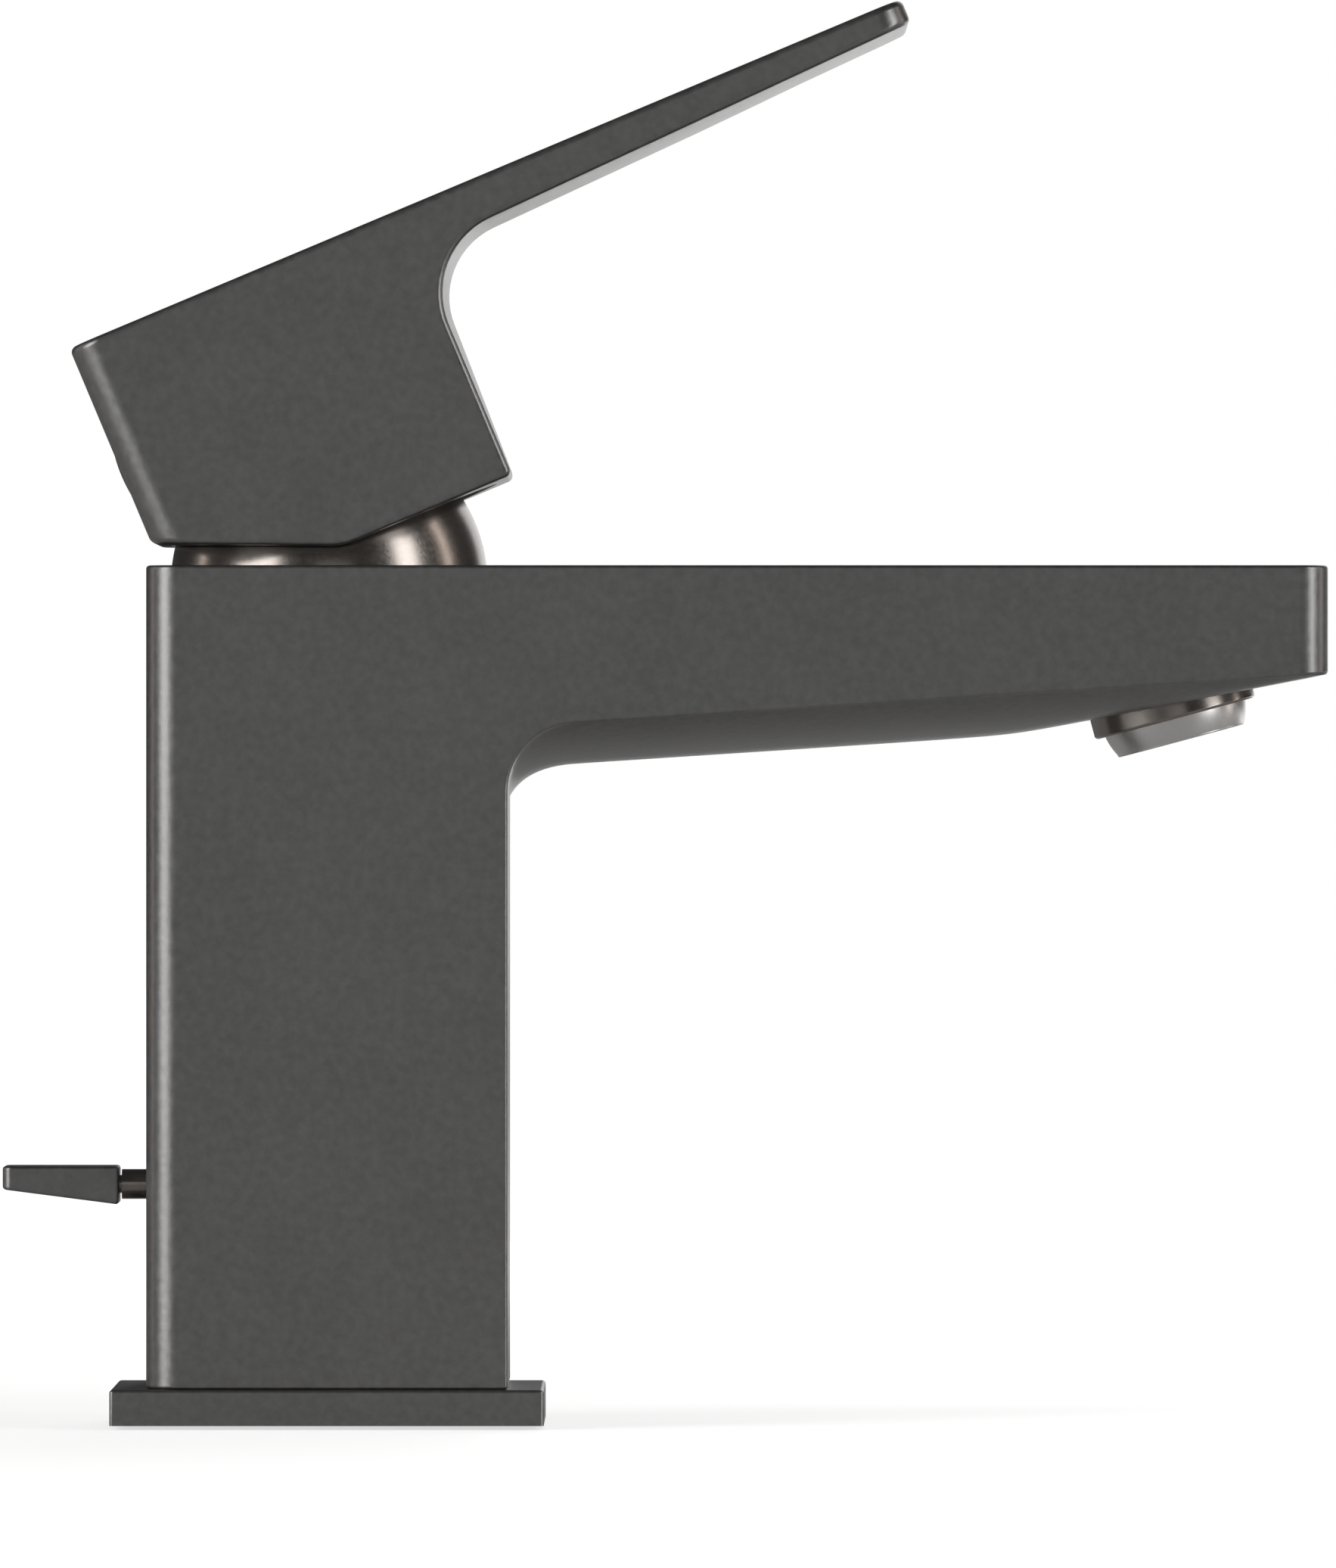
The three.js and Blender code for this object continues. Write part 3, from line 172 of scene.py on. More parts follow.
class MixerLeverSizes(PropertyGroup):
    top: length("Top", "Height of the closed lever's flat top above the deck", 146.8)
    bottom: length("Bottom", "Height of the closed lever's lower face", 110.5)
    back_bottom: length("Back bottom", "Height of its lower back edge", 120.05)
    kink: length("Kink", "Place along the spout where the underside starts to rise", -0.6)
    kink_radius: length("Kink radius", "Rounding of that kink", 1.6)
    reach: length("Reach", "From the column's middle to the blade's tip", 90.9)
    neck_front: length("Neck front", "Place of the front of the lever's neck", 22.5)
    inner_radius: length("Inner radius", "Fillet between the neck and the blade", 10.3)
    tip_thickness: length("Tip thickness", "Thickness of the blade at its tip", 3.3)
    taper: angle("Taper", "Angle between the blade's two faces", 2.1)
    corner: length("Corner", "Radius of the lever's four corners, seen from above", 4.0)
    edge_radius: length("Edge radius", "Rounding of its edges", 0.85)
    bow: length("Bow", "How far the neck and the blade's underside bulge", 0.6)
    lift: angle("Lift", "Angle from closed up to fully open", 22.8)
    hollow_radius: length("Hollow radius", "Radius of the hollow over the dome", 20.65)
    hollow_roof: length("Hollow roof", "Height of the hollow's flat roof, on the closed lever", 126.6)
    dome_centre: length("Dome centre", "Height of the dome's centre above the deck", 106.2)
    plug_height: length("Plug height", "Height of the index plug, on the closed lever", 129.9)
    plug_radius: length("Plug radius", "Radius of the index plug", 4.35)
    plug_proud: length("Plug proud", "How far the plug stands out", 0.5)


class MixerTrimSizes(PropertyGroup):
    dome_radius: length("Dome radius", "Radius of the dome's sphere", 20.1)
    dome_opening: length("Dome opening", "Radius of the opening in the dome's top", 14.2)
    dome_wall: length("Dome wall", "Thickness of the dome", 1.1)
    collar_radius: length("Collar radius", "Radius of the aerator's collar", 10.5)
    collar_lip: length("Collar lip", "Inner radius of the collar's rim", 9.3)
    collar_height: length("Collar height", "Height of the collar", 10.2)
    nozzle_radius: length("Nozzle radius", "Radius of the ball that the nozzle is cut from", 9.35)
    nozzle_centre: length("Nozzle centre", "Height of that ball's centre above the collar's rim", 1.66)
    nozzle_drop: length("Nozzle drop", "How far the nozzle stands out of the rim", 2.92)
    nozzle_rise: length("Nozzle rise", "From the ball's centre to the nozzle's upper face", 4.0)
    nozzle_bore: length("Nozzle bore", "Radius of the nozzle's bore", 7.2)
    nozzle_lip: length("Nozzle lip", "Inner radius of the nozzle's mouth", 6.7)
    mesh_pitch: length("Mesh pitch", "Spacing of the outlet's wire mesh", 1.1)
    rod_radius: length("Rod radius", "Radius of the lift rod", 1.9)
    rod_bend: length("Rod bend", "Radius of the rod's bend", 3.2)
    knob_thin: length("Knob thin end", "Thickness of the knob's outer end", 2.95)
    knob_edge: length("Knob edge", "Rounding of the knob's edges", 0.4)


class MixerFinishes(PropertyGroup):
    graphite: colour("Graphite", "Colour of the grained coat", (0.2, 0.198, 0.195))
    black_nickel: colour("Black nickel", "Colour of the dome, the collar and the rod", (0.26, 0.235, 0.215))
    satin_nickel: colour("Satin nickel", "Colour of the nozzle", (0.64, 0.63, 0.615))
    grain: length("Grain", "Size of the coat's grain", 1.1)


class MixerStageSettings(PropertyGroup):
    floor_side: FloatProperty(
        name="Floor side", description="Side of the floor", default=12.0, unit="LENGTH"
    )
    eye_x: length("Eye X", "Place of the camera along the spout", 43.0)
    eye_height: length("Eye height", "Height of the camera above the deck", 80.8)
    eye_distance: length("Eye distance", "From the camera to the column's near side", 2800)
    lens: FloatProperty(name="Lens", description="Focal length in millimetres", default=510.8)
    sensor: FloatProperty(name="Sensor", description="Long side of the sensor in millimetres", default=36)
    backdrop: FloatProperty(name="Backdrop", description="Brightness of the background", default=1.0)
    surround: FloatProperty(name="Surround", description="Light from the room around", default=0.06)


# ------------------------------------------------------------------ modelling helpers


def deselect():
    """Leaves no object selected."""
    bpy.ops.object.select_all(action="DESELECT")


def alone(obj):
    """Selects one object and nothing else."""
    deselect()
    obj.select_set(True)
    bpy.context.view_layer.objects.active = obj


def named(name):
    """Names the object that was just added, and puts its place and size into its mesh."""
    obj = bpy.context.object
    bpy.ops.object.transform_apply(location=True, rotation=True, scale=True)
    obj.name = name
    obj.data.name = name
    return obj


def cube(name, low, high):
    """A box between two corners."""
    deselect()
    middle = [(a + b) / 2 for a, b in zip(low, high)]
    size = [b - a for a, b in zip(low, high)]
    bpy.ops.mesh.primitive_cube_add(size=1, location=middle, scale=size)
    return named(name)


def cylinder(name, radius, low, high, axis="Z", centre=(0, 0, 0), sides=ROUND_SIDES):
    """A cylinder from low to high along an axis through a centre."""
    deselect()
    turn = {"X": (0, math.pi / 2, 0), "Y": (math.pi / 2, 0, 0), "Z": (0, 0, 0)}[axis]
    place = Vector(centre)
    place["XYZ".index(axis)] = (low + high) / 2
    bpy.ops.mesh.primitive_cylinder_add(
        vertices=sides, radius=radius, depth=high - low, location=place, rotation=turn
    )
    return named(name)


def edit(obj):
    """Goes into edit mode on one object."""
    alone(obj)
    bpy.ops.object.mode_set(mode="EDIT")


def leave():
    """Goes back to object mode."""
    bpy.ops.object.mode_set(mode="OBJECT")


def pick(obj, kind, test):
    """Selects the faces, edges or vertices that pass a test, in edit mode."""
    bpy.ops.mesh.select_mode(type=kind)
    bpy.ops.mesh.select_all(action="DESELECT")
    mesh = bmesh.from_edit_mesh(obj.data)
    mesh.normal_update()
    items = {"FACE": mesh.faces, "EDGE": mesh.edges, "VERT": mesh.verts}[kind]
    found = [item for item in items if test(item)]
    if not found:
        raise ValueError(f"{obj.name}: nothing was found to work on")
    for item in found:
        item.select_set(True)
    mesh.select_flush_mode()
    bmesh.update_edit_mesh(obj.data)


def near(a, b):
    """Whether two places along an axis are the same."""
    return abs(a - b) < NEAR


def middle(edge):
    """The middle of an edge."""
    return (edge.verts[0].co + edge.verts[1].co) / 2


def runs(edge, axis):
    """Whether an edge runs along an axis."""
    a, b = edge.verts
    return all(near(a.co[k], b.co[k]) for k in range(3) if k != "XYZ".index(axis))


def bevel(offset, segments):
    """Rounds the selected edges."""
    bpy.ops.mesh.bevel(offset=offset, segments=segments, profile=0.5, affect="EDGES", clamp_overlap=False)


def dissolve_flat():
    """Joins faces that lie in one plane."""
    bpy.ops.mesh.select_all(action="SELECT")
    bpy.ops.mesh.dissolve_limited(angle_limit=math.radians(0.1))


def shift(x=0, y=0, z=0):
    """Moves what is selected."""
    bpy.ops.transform.translate(value=(x, y, z))


def extrude(x=0, y=0, z=0):
    """Extrudes what is selected."""
    bpy.ops.mesh.extrude_region_move(TRANSFORM_OT_translate={"value": (x, y, z)})


def round_sharp_edges(obj, offset):
    """Rounds every edge that turns by more than 40 degrees."""
    pick(obj, "EDGE", lambda e: len(e.link_faces) == 2 and e.calc_face_angle() > math.radians(40))
    bevel(offset, FINE_STEPS)


def slice_faces(obj, test, place, normal):
    """Cuts a line across the faces that pass a test."""
    pick(obj, "FACE", test)
    bpy.ops.mesh.bisect(plane_co=place, plane_no=normal, threshold=1e-7)


def modify(obj, kind, **settings):
    """Adds a modifier to an object, sets it and applies it."""
    alone(obj)
    bpy.ops.object.modifier_add(type=kind)
    modifier = obj.modifiers[-1]
    for name, value in settings.items():
        setattr(modifier, name, value)
    bpy.ops.object.modifier_apply(modifier=modifier.name)


def cut(obj, tool):
    """Cuts away what a tool covers, and removes the tool."""
    modify(obj, "BOOLEAN", operation="DIFFERENCE", solver="EXACT", object=tool)
    bpy.data.objects.remove(tool, do_unlink=True)


def clean(obj):
    """Merges doubles and turns every face outward."""
    edit(obj)
    bpy.ops.mesh.select_all(action="SELECT")
    bpy.ops.mesh.remove_doubles(threshold=MERGE)
    bpy.ops.mesh.normals_make_consistent(inside=False)
    leave()


def smooth(obj, limit=22):
    """Smooths what turns by less than a limit, and keeps flat faces flat."""
    alone(obj)
    bpy.ops.object.shade_smooth_by_angle(angle=math.radians(limit))
    modify(obj, "WEIGHTED_NORMAL", keep_sharp=True, weight=80)


def rounded(corners, steps=FINE_STEPS):
    """A profile with its corners rounded: each corner is (across, up) or (across, up, radius)."""
    points = []
    for k, corner in enumerate(corners):
        here = Vector(corner[:2])
        if len(corner) < 3:
            points.append(here)
            continue
        before = (Vector(corners[k - 1][:2]) - here).normalized()
        after = (Vector(corners[(k + 1) % len(corners)][:2]) - here).normalized()
        half = before.angle(after) / 2
        back = corner[2] / math.tan(half)
        centre = here + (before + after).normalized() * corner[2] / math.sin(half)
        first = here + before * back - centre
        last = here + after * back - centre
        start = math.atan2(first.y, first.x)
        sweep = (math.atan2(last.y, last.x) - start + math.pi) % math.tau - math.pi
        for n in range(steps + 1):
            turn = start + sweep * n / steps
            points.append(centre + corner[2] * Vector((math.cos(turn), math.sin(turn))))
    return points


def turned(name, profile, steps=ROUND_SIDES, closed=True):
    """A piece turned about Z from a profile of (radius, height). Points on the axis close its poles."""
    deselect()
    bpy.ops.mesh.primitive_plane_add(size=MM, location=(0, 0, 0))
    obj = named(name)
    points = [Vector((p[0], 0, p[1])) for p in profile]
    edit(obj)
    bpy.ops.mesh.select_mode(type="VERT")
    bpy.ops.mesh.select_all(action="SELECT")
    bpy.ops.mesh.merge(type="CENTER")
    shift(*points[0])
    ends = points[1:] + ([points[0]] if closed else [])
    for before, after in zip(points, ends):
        extrude(*(after - before))
    bpy.ops.mesh.select_all(action="SELECT")
    bpy.ops.mesh.remove_doubles(threshold=MERGE)
    bpy.ops.mesh.select_all(action="SELECT")
    bpy.ops.mesh.spin(steps=steps, angle=math.tau, center=(0, 0, 0), axis=(0, 0, 1))
    bpy.ops.mesh.select_all(action="SELECT")
    bpy.ops.mesh.remove_doubles(threshold=MERGE)
    bpy.ops.mesh.normals_make_consistent(inside=False)
    leave()
    return obj


def placed(obj, matrix):
    """Puts a turn or a move into a piece's mesh."""
    alone(obj)
    obj.matrix_world = matrix
    bpy.ops.object.transform_apply(location=True, rotation=True, scale=True)


def finish(obj, body, replaced, material):
    """Gives a finished piece its body, the node it stands for and its material."""
    obj.data.materials.clear()
    obj.data.materials.append(material)
    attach(obj, body)
    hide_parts(replaced)


# ------------------------------------------------------------------ body casting


def belly_height(s, x, y):
    """Height of the spout's bulging underside."""
    rise = math.tan(s.edge_slope)
    tip = BODY_HIGH.z - s.tip_height

    def line(at):
        return tip - (BODY_HIGH.x - at) * rise - s.belly_depth

    end = HALF + s.belly_root_run
    lowest = line(x)
    if x < end:
        start = line(HALF) - s.belly_root_drop
        lean = math.tan(s.belly_root_lean)
        up = (line(end) - start - rise * s.belly_root_run) / (1 - rise * lean)
        bend = HALF + lean * up
        a = HALF - 2 * bend + end
        b = 2 * (bend - HALF)
        t = (-b + math.sqrt(max(0, b * b - 4 * a * (HALF - x)))) / (2 * a)
        lowest = (1 - t) ** 2 * start + 2 * t * (1 - t) * (start + up) + t * t * line(end)
    radius = ((HALF - s.belly_land) ** 2 + s.belly_depth**2) / (2 * s.belly_depth)
    bulge = lowest + radius - math.sqrt(radius**2 - y * y)
    flat = tip - (BODY_HIGH.x - x) * math.tan(s.outlet_slope)
    soft = 0.5 * MM
    return (bulge + flat + math.sqrt((bulge - flat) ** 2 + soft**2)) / 2


def block_out_body(s):
    """The column and the spout as one block, with their large radii."""
    low, high = BODY_LOW, BODY_HIGH
    tip = high.z - s.tip_height
    root = tip - (high.x - HALF) * math.tan(s.edge_slope)
    obj = cube("casting", low, (HALF, HALF, high.z))
    edit(obj)
    slice_faces(obj, lambda f: True, (0, 0, root), (0, 0, 1))
    pick(obj, "FACE", lambda f: f.normal.x > 0.9 and f.calc_center_median().z > root)
    extrude(high.x - HALF)
    pick(obj, "VERT", lambda v: near(v.co.x, high.x) and near(v.co.z, root))
    shift(z=tip - root)
    dissolve_flat()
    pick(obj, "EDGE", lambda e: runs(e, "Y") and near(middle(e).x, HALF) and near(middle(e).z, root))
    bevel(s.root_radius / math.tan((math.pi / 2 + s.edge_slope) / 2), FILLET_STEPS)
    pick(obj, "EDGE", lambda e: runs(e, "Z") and near(middle(e).x, low.x))
    bevel(s.back_corner, LARGE_STEPS)
    pick(obj, "EDGE", lambda e: runs(e, "Z") and near(middle(e).x, high.x))
    bevel(s.tip_corner, LARGE_STEPS)
    round_sharp_edges(obj, s.edge_radius)
    return obj


def bulge_underside(obj, s):
    """Gives the spout's underside its belly, its root and the flat of the outlet."""
    front = BODY_HIGH.x - s.edge_radius

    def under(face):
        place = face.calc_center_median()
        down = abs(face.normal.y) < 0.3 and face.normal.z < -0.03
        return down and HALF < place.x < front and place.z > SPOUT_LOWEST

    def free(face):
        column_front = face.normal.x > 0.99 and near(face.calc_center_median().x, HALF)
        return under(face) or column_front

    side = HALF - s.edge_radius
    inner = HALF - s.belly_land
    lines = 18
    spots = [inner * math.sin(math.pi / 2 * k / lines) for k in range(-lines, lines + 1)]
    for y in spots:
        slice_faces(obj, lambda f: under(f) and abs(f.calc_center_median().y) < side, (0, y, 0), (0, 1, 0))
    step = 2.2 * MM
    past_fillet = HALF + 7 * MM
    first = HALF + s.root_radius
    stations = int((front - first) / step)
    for k in range(1, stations + 1):
        x = first + k * (front - first) / (stations + 1)
        slice_faces(obj, lambda f: under(f) and f.calc_center_median().x > past_fillet, (x, 0, 0), (1, 0, 0))
    mesh = bmesh.from_edit_mesh(obj.data)
    mesh.normal_update()
    below = [v for v in mesh.verts if any(under(f) for f in v.link_faces)]
    moves = [v for v in below if all(free(f) for f in v.link_faces)]
    for vertex in moves:
        vertex.co.z = min(vertex.co.z, belly_height(s, vertex.co.x, vertex.co.y))
    bmesh.update_edit_mesh(obj.data)


def rod_axis(trim):
    """Place of the lift rod's upright along the spout."""
    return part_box("lift_rod")[1].x - trim.rod_radius


def cut_cartridge_chamber(obj, s, trim):
    """Cuts the dome's seat and the cartridge's chamber into the column's top."""
    top = BODY_HIGH.z
    cut(obj, cylinder("tool", trim.dome_radius + s.dome_gap, top - s.dome_seat, top + OVER, sides=WIDE_SIDES))
    cut(obj, cylinder("tool", s.chamber_radius, top - s.chamber_depth, top + OVER / 2))


def hollow_column(obj, s, trim):
    """Hollows the column from below, and leaves a web with the lift rod's bush."""
    inner = HALF - s.wall
    centre = (rod_axis(trim), 0, 0)
    cut(obj, cube("tool", (-inner, -inner, BODY_LOW.z - OVER), (inner, inner, WEB_LOW)))
    cut(obj, cube("tool", (-inner, -inner, WEB_HIGH), (inner, inner, CAVITY_TOP)))
    cut(obj, cube("tool", (WEB_FRONT, -inner, WEB_LOW - OVER), (inner, inner, WEB_HIGH + OVER)))
    cut(obj, cylinder("tool", BUSH_BORE, WEB_LOW - OVER, WEB_HIGH + OVER, centre=centre, sides=BORE_SIDES))


def cut_rod_slot(obj, s, trim):
    """Cuts the round-ended slot of the lift rod into the column's back."""
    half = s.slot_width / 2
    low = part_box("lift_rod")[1].z - 2 * trim.rod_radius - (half - trim.rod_radius)
    inside = s.wall - HALF + OVER / 2
    slot = cube("tool", (-HALF - OVER, -half, low), (inside, half, low + s.slot_height))
    edit(slot)
    pick(slot, "EDGE", lambda e: runs(e, "X"))
    almost_half = 0.998 * half  # so that the two roundings don't meet
    bevel(almost_half, LARGE_STEPS)
    leave()
    cut(obj, slot)


def build_body(scene):
    s = scene.mixer_body
    trim = scene.mixer_trim
    obj = block_out_body(s)
    bulge_underside(obj, s)
    leave()
    cut_cartridge_chamber(obj, s, trim)
    hollow_column(obj, s, trim)
    cut_rod_slot(obj, s, trim)
    pocket = cylinder("tool", trim.collar_radius + GAP, -COLLAR_POCKET, trim.collar_height + GAP)
    placed(pocket, aerator_place(trim))
    cut(obj, pocket)
    clean(obj)
    smooth(obj)
    finish(obj, "faucet_body", "body_casting", graphite_material(scene))


def aerator_place(trim):
    """Where the aerator's own frame lies: its axis, and the middle of the collar's rim as its origin."""
    rim = TILT_PIVOT - OUTLET_AXIS * trim.nozzle_centre
    return Matrix.Translation(rim) @ Matrix.Rotation(OUTLET_LEAN, 4, "Y")


# ------------------------------------------------------------------ plate, lever, lift knob and rod


def rounded_block(name, low, high, radius):
    """A block with rounded upright edges."""
    obj = cube(name, low, high)
    edit(obj)
    pick(obj, "EDGE", lambda e: runs(e, "Z"))
    bevel(radius, 8)
    leave()
    return obj


def build_plate(scene):
    s = scene.mixer_plate
    low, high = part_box("base_plate")
    foot_low, foot_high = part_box("inlet_manifold")
    over = 1 * MM
    obj = cube("plate", low, high)
    edit(obj)
    pick(obj, "EDGE", lambda e: runs(e, "Z"))
    bevel(s.edge_radius + 0.05 * MM, 4)
    pick(obj, "EDGE", lambda e: near(e.verts[0].co.z, high.z) and near(e.verts[1].co.z, high.z))
    bevel(s.edge_radius, FINE_STEPS)
    leave()
    reach = Vector((s.gasket_margin, s.gasket_margin, 0))
    recess = cube("tool", low + reach - Vector((0, 0, over)), (*(high - reach).xy, s.gasket_depth))
    cut(obj, recess)
    gap = Vector((s.foot_gap, s.foot_gap, over))
    opening = rounded_block("tool", foot_low - gap, (*(foot_high + gap).xy, high.z + over), FOOT_CORNER)
    cut(obj, opening)
    centre = (rod_axis(scene.mixer_trim), 0, 0)
    cut(obj, cylinder("tool", PLATE_ROD_BORE, low.z - over, high.z + over, centre=centre, sides=BORE_SIDES))
    clean(obj)
    smooth(obj)
    finish(obj, "faucet_body", "base_plate", graphite_material(scene))


def block_out_lever(s):
    """The closed lever as one block: its neck, its blade and their large radii."""
    taper = math.tan(s.taper)
    tip_under = s.top - s.tip_thickness
    root = tip_under - (s.reach - s.neck_front) * taper
    obj = cube("lever", (-HALF, -HALF, s.bottom), (s.neck_front, HALF, s.top))
    edit(obj)
    slice_faces(obj, lambda f: True, (0, 0, root), (0, 0, 1))
    slice_faces(obj, lambda f: True, (s.kink, 0, 0), (1, 0, 0))
    pick(obj, "FACE", lambda f: f.normal.x > 0.9 and f.calc_center_median().z > root)
    extrude(s.reach - s.neck_front)
    pick(obj, "VERT", lambda v: near(v.co.x, s.reach) and near(v.co.z, root))
    shift(z=tip_under - root)
    pick(obj, "VERT", lambda v: near(v.co.x, -HALF) and near(v.co.z, s.bottom))
    shift(z=s.back_bottom - s.bottom)
    dissolve_flat()
    pick(obj, "EDGE", lambda e: runs(e, "Y") and near(middle(e).x, s.neck_front) and near(middle(e).z, root))
    bevel(s.inner_radius / math.tan((math.pi / 2 + s.taper) / 2), FILLET_STEPS)
    pick(obj, "EDGE", lambda e: runs(e, "Y") and near(middle(e).x, s.kink) and near(middle(e).z, s.bottom))
    bevel(s.kink_radius, 6)
    pick(obj, "EDGE", lambda e: runs(e, "Z") and near(middle(e).x, -HALF))
    bevel(s.corner, LARGE_STEPS)
    pick(obj, "EDGE", lambda e: runs(e, "Z") and near(middle(e).x, s.reach))
    bevel(s.corner, LARGE_STEPS)
    round_sharp_edges(obj, s.edge_radius)
    return obj


def bow_lever(obj, s):
    """Bows the front of the neck and the underside of the blade outward."""
    side = HALF - s.edge_radius
    front = s.reach - s.edge_radius

    def under(face):
        place = face.calc_center_median()
        if abs(face.normal.y) > 0.05 or abs(place.y) > side:
            return False
        neck = near(place.x, s.neck_front) and face.normal.x > 0.9
        blade = face.normal.z < -0.02 and s.neck_front < place.x < front and place.z > s.bottom + 5 * MM
        return neck or blade

    lines = 8
    for k in range(1 - lines, lines):
        y = side * k / lines
        slice_faces(obj, under, (0, y, 0), (0, 1, 0))
    for k in range(1, lines):
        x = s.neck_front + s.inner_radius + k / lines * (front - s.neck_front - s.inner_radius)
        slice_faces(obj, lambda f: under(f) and f.calc_center_median().x > x - 20 * MM, (x, 0, 0), (1, 0, 0))
    mesh = bmesh.from_edit_mesh(obj.data)
    mesh.normal_update()
    moves = [v for v in mesh.verts if v.link_faces and all(under(f) for f in v.link_faces)]
    for vertex in moves:
        across = 1 - (vertex.co.y / side) ** 2
        ends = min(1, (front - vertex.co.x) / (25 * MM), (vertex.co.z - s.bottom) / (8 * MM))
        vertex.co += vertex.normal * s.bow * across * max(0, ends)
    bmesh.update_edit_mesh(obj.data)


def hollow_lever(obj, s):
    """Cuts the dome's sphere out of the lever, in three places along its lift."""
    drop = PIVOT.z - s.dome_centre
    for share in (0, 0.5, 1):
        turn = s.lift * share
        deselect()
        bpy.ops.mesh.primitive_uv_sphere_add(
            segments=ROUND_SIDES,
            ring_count=BORE_SIDES,
            radius=s.hollow_radius,
            location=(-drop * math.sin(turn), 0, PIVOT.z - drop * math.cos(turn)),
        )
        ball = named("tool")
        edit(ball)
        bpy.ops.mesh.select_all(action="SELECT")
        roof = (0, 0, s.hollow_roof)
        bpy.ops.mesh.bisect(plane_co=roof, plane_no=(0, 0, 1), clear_outer=True, use_fill=True)
        leave()
        cut(obj, ball)


def build_lever(scene):
    s = scene.mixer_lever
    obj = block_out_lever(s)
    bow_lever(obj, s)
    leave()
    hollow_lever(obj, s)
    side = SPINDLE_SOCKET
    cut(obj, cube("tool", (-side, -side, s.hollow_roof - MM), (side, side, SPINDLE_SOCKET_TOP)))
    centre = (0, 0, s.plug_height)
    cut(obj, cylinder("tool", SCREW_BORE, -HALF - MM, 0, axis="X", centre=centre, sides=SMALL_SIDES))
    pocket = s.plug_radius + GAP
    cut(obj, cylinder("tool", pocket, -HALF - MM, -HALF + PLUG_POCKET, axis="X", centre=centre))
    clean(obj)
    placed(obj, lever_place(s))
    smooth(obj)
    finish(obj, "lever", "lever_handle", graphite_material(scene))


def lever_place(s):
    """From the closed lever's place to the raised one."""
    there = Matrix.Translation(PIVOT)
    return there @ Matrix.Rotation(-s.lift, 4, "Y") @ there.inverted()


def build_knob(scene):
    s = scene.mixer_trim
    low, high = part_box("lift_knob")
    obj = cube("knob", low, high)
    edit(obj)
    pick(obj, "VERT", lambda v: near(v.co.x, low.x) and near(v.co.z, low.z))
    shift(z=high.z - low.z - s.knob_thin)
    pick(obj, "EDGE", lambda e: runs(e, "Z") and near(middle(e).x, low.x))
    bevel(KNOB_CORNER, 6)
    round_sharp_edges(obj, s.knob_edge)
    leave()
    centre = (0, 0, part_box("lift_rod")[1].z - s.rod_radius)
    end = high.x - KNOB_BORE_DEPTH
    cut(obj, cylinder("tool", KNOB_BORE, end, high.x + MM, axis="X", centre=centre, sides=SMALL_SIDES))
    clean(obj)
    smooth(obj)
    finish(obj, "lift_rod", "lift_knob", graphite_material(scene))


def build_rod(scene):
    s = scene.mixer_trim
    low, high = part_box("lift_rod")
    radius = s.rod_radius
    upright_x = rod_axis(s)
    bend_x = upright_x - s.rod_bend
    neck_z = high.z - radius
    neck_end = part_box("lift_knob")[1].x + GAP
    deselect()
    place = (upright_x, 0, low.z)
    bpy.ops.mesh.primitive_circle_add(vertices=BORE_SIDES, radius=radius, fill_type="NGON", location=place)
    obj = named("rod")
    edit(obj)
    bpy.ops.mesh.select_mode(type="FACE")
    bpy.ops.mesh.select_all(action="SELECT")
    extrude(z=neck_z - s.rod_bend - low.z)
    centre = (bend_x, 0, neck_z - s.rod_bend)
    bpy.ops.mesh.spin(steps=16, angle=math.pi / 2, center=centre, axis=(0, 1, 0))
    extrude(neck_end - bend_x)
    bpy.ops.mesh.inset(thickness=radius - SPIGOT_RADIUS, depth=0)
    extrude(low.x - neck_end)
    leave()
    clean(obj)
    foot = low.z + ROD_SOCKET_DEPTH
    cut(obj, cylinder("tool", ROD_SOCKET, low.z - MM, foot, centre=(upright_x, 0, 0), sides=SMALL_SIDES))
    clean(obj)
    smooth(obj, 40)
    finish(obj, "lift_rod", "lift_rod", black_nickel_material(scene))


# ------------------------------------------------------------------ turned trim


def sphere_arc(radius, centre, start, end, steps):
    """Points on a circle about the axis, as (radius, height), between two angles above the horizontal."""
    turns = [start + (end - start) * k / steps for k in range(steps + 1)]
    return [(radius * math.cos(a), centre + radius * math.sin(a)) for a in turns]


def build_dome(scene):
    s = scene.mixer_trim
    centre = scene.mixer_lever.dome_centre
    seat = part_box("dome_cap")[0].z
    inside = s.dome_radius - s.dome_wall
    rim = math.asin((seat - centre) / s.dome_radius)
    opening = math.acos(s.dome_opening / s.dome_radius)
    lip = math.acos((s.dome_opening - s.dome_wall / 2) / inside)
    profile = sphere_arc(s.dome_radius, centre, rim, opening, 24)
    profile += sphere_arc(inside, centre, lip, math.acos(DOME_BORE / inside), 16)
    profile.append((DOME_BORE, seat))
    obj = turned("dome", profile, WIDE_SIDES)
    smooth(obj, 35)
    finish(obj, "faucet_body", "dome_cap", black_nickel_material(scene))


def build_collar(scene):
    s = scene.mixer_trim
    bore = s.collar_radius - COLLAR_WALL
    profile = rounded(
        [
            (s.collar_lip, 0, LIP_EDGE),
            (s.collar_radius, 0, COLLAR_EDGE),
            (s.collar_radius, s.collar_height, 0.15 * MM),
            (bore, s.collar_height),
            (bore, COLLAR_FLOOR),
            (s.collar_lip, COLLAR_FLOOR, LIP_EDGE),
        ]
    )
    obj = turned("collar", profile, WIDE_SIDES)
    placed(obj, aerator_place(s))
    smooth(obj, 25)
    finish(obj, "faucet_body", "aerator_collar", black_nickel_material(scene))


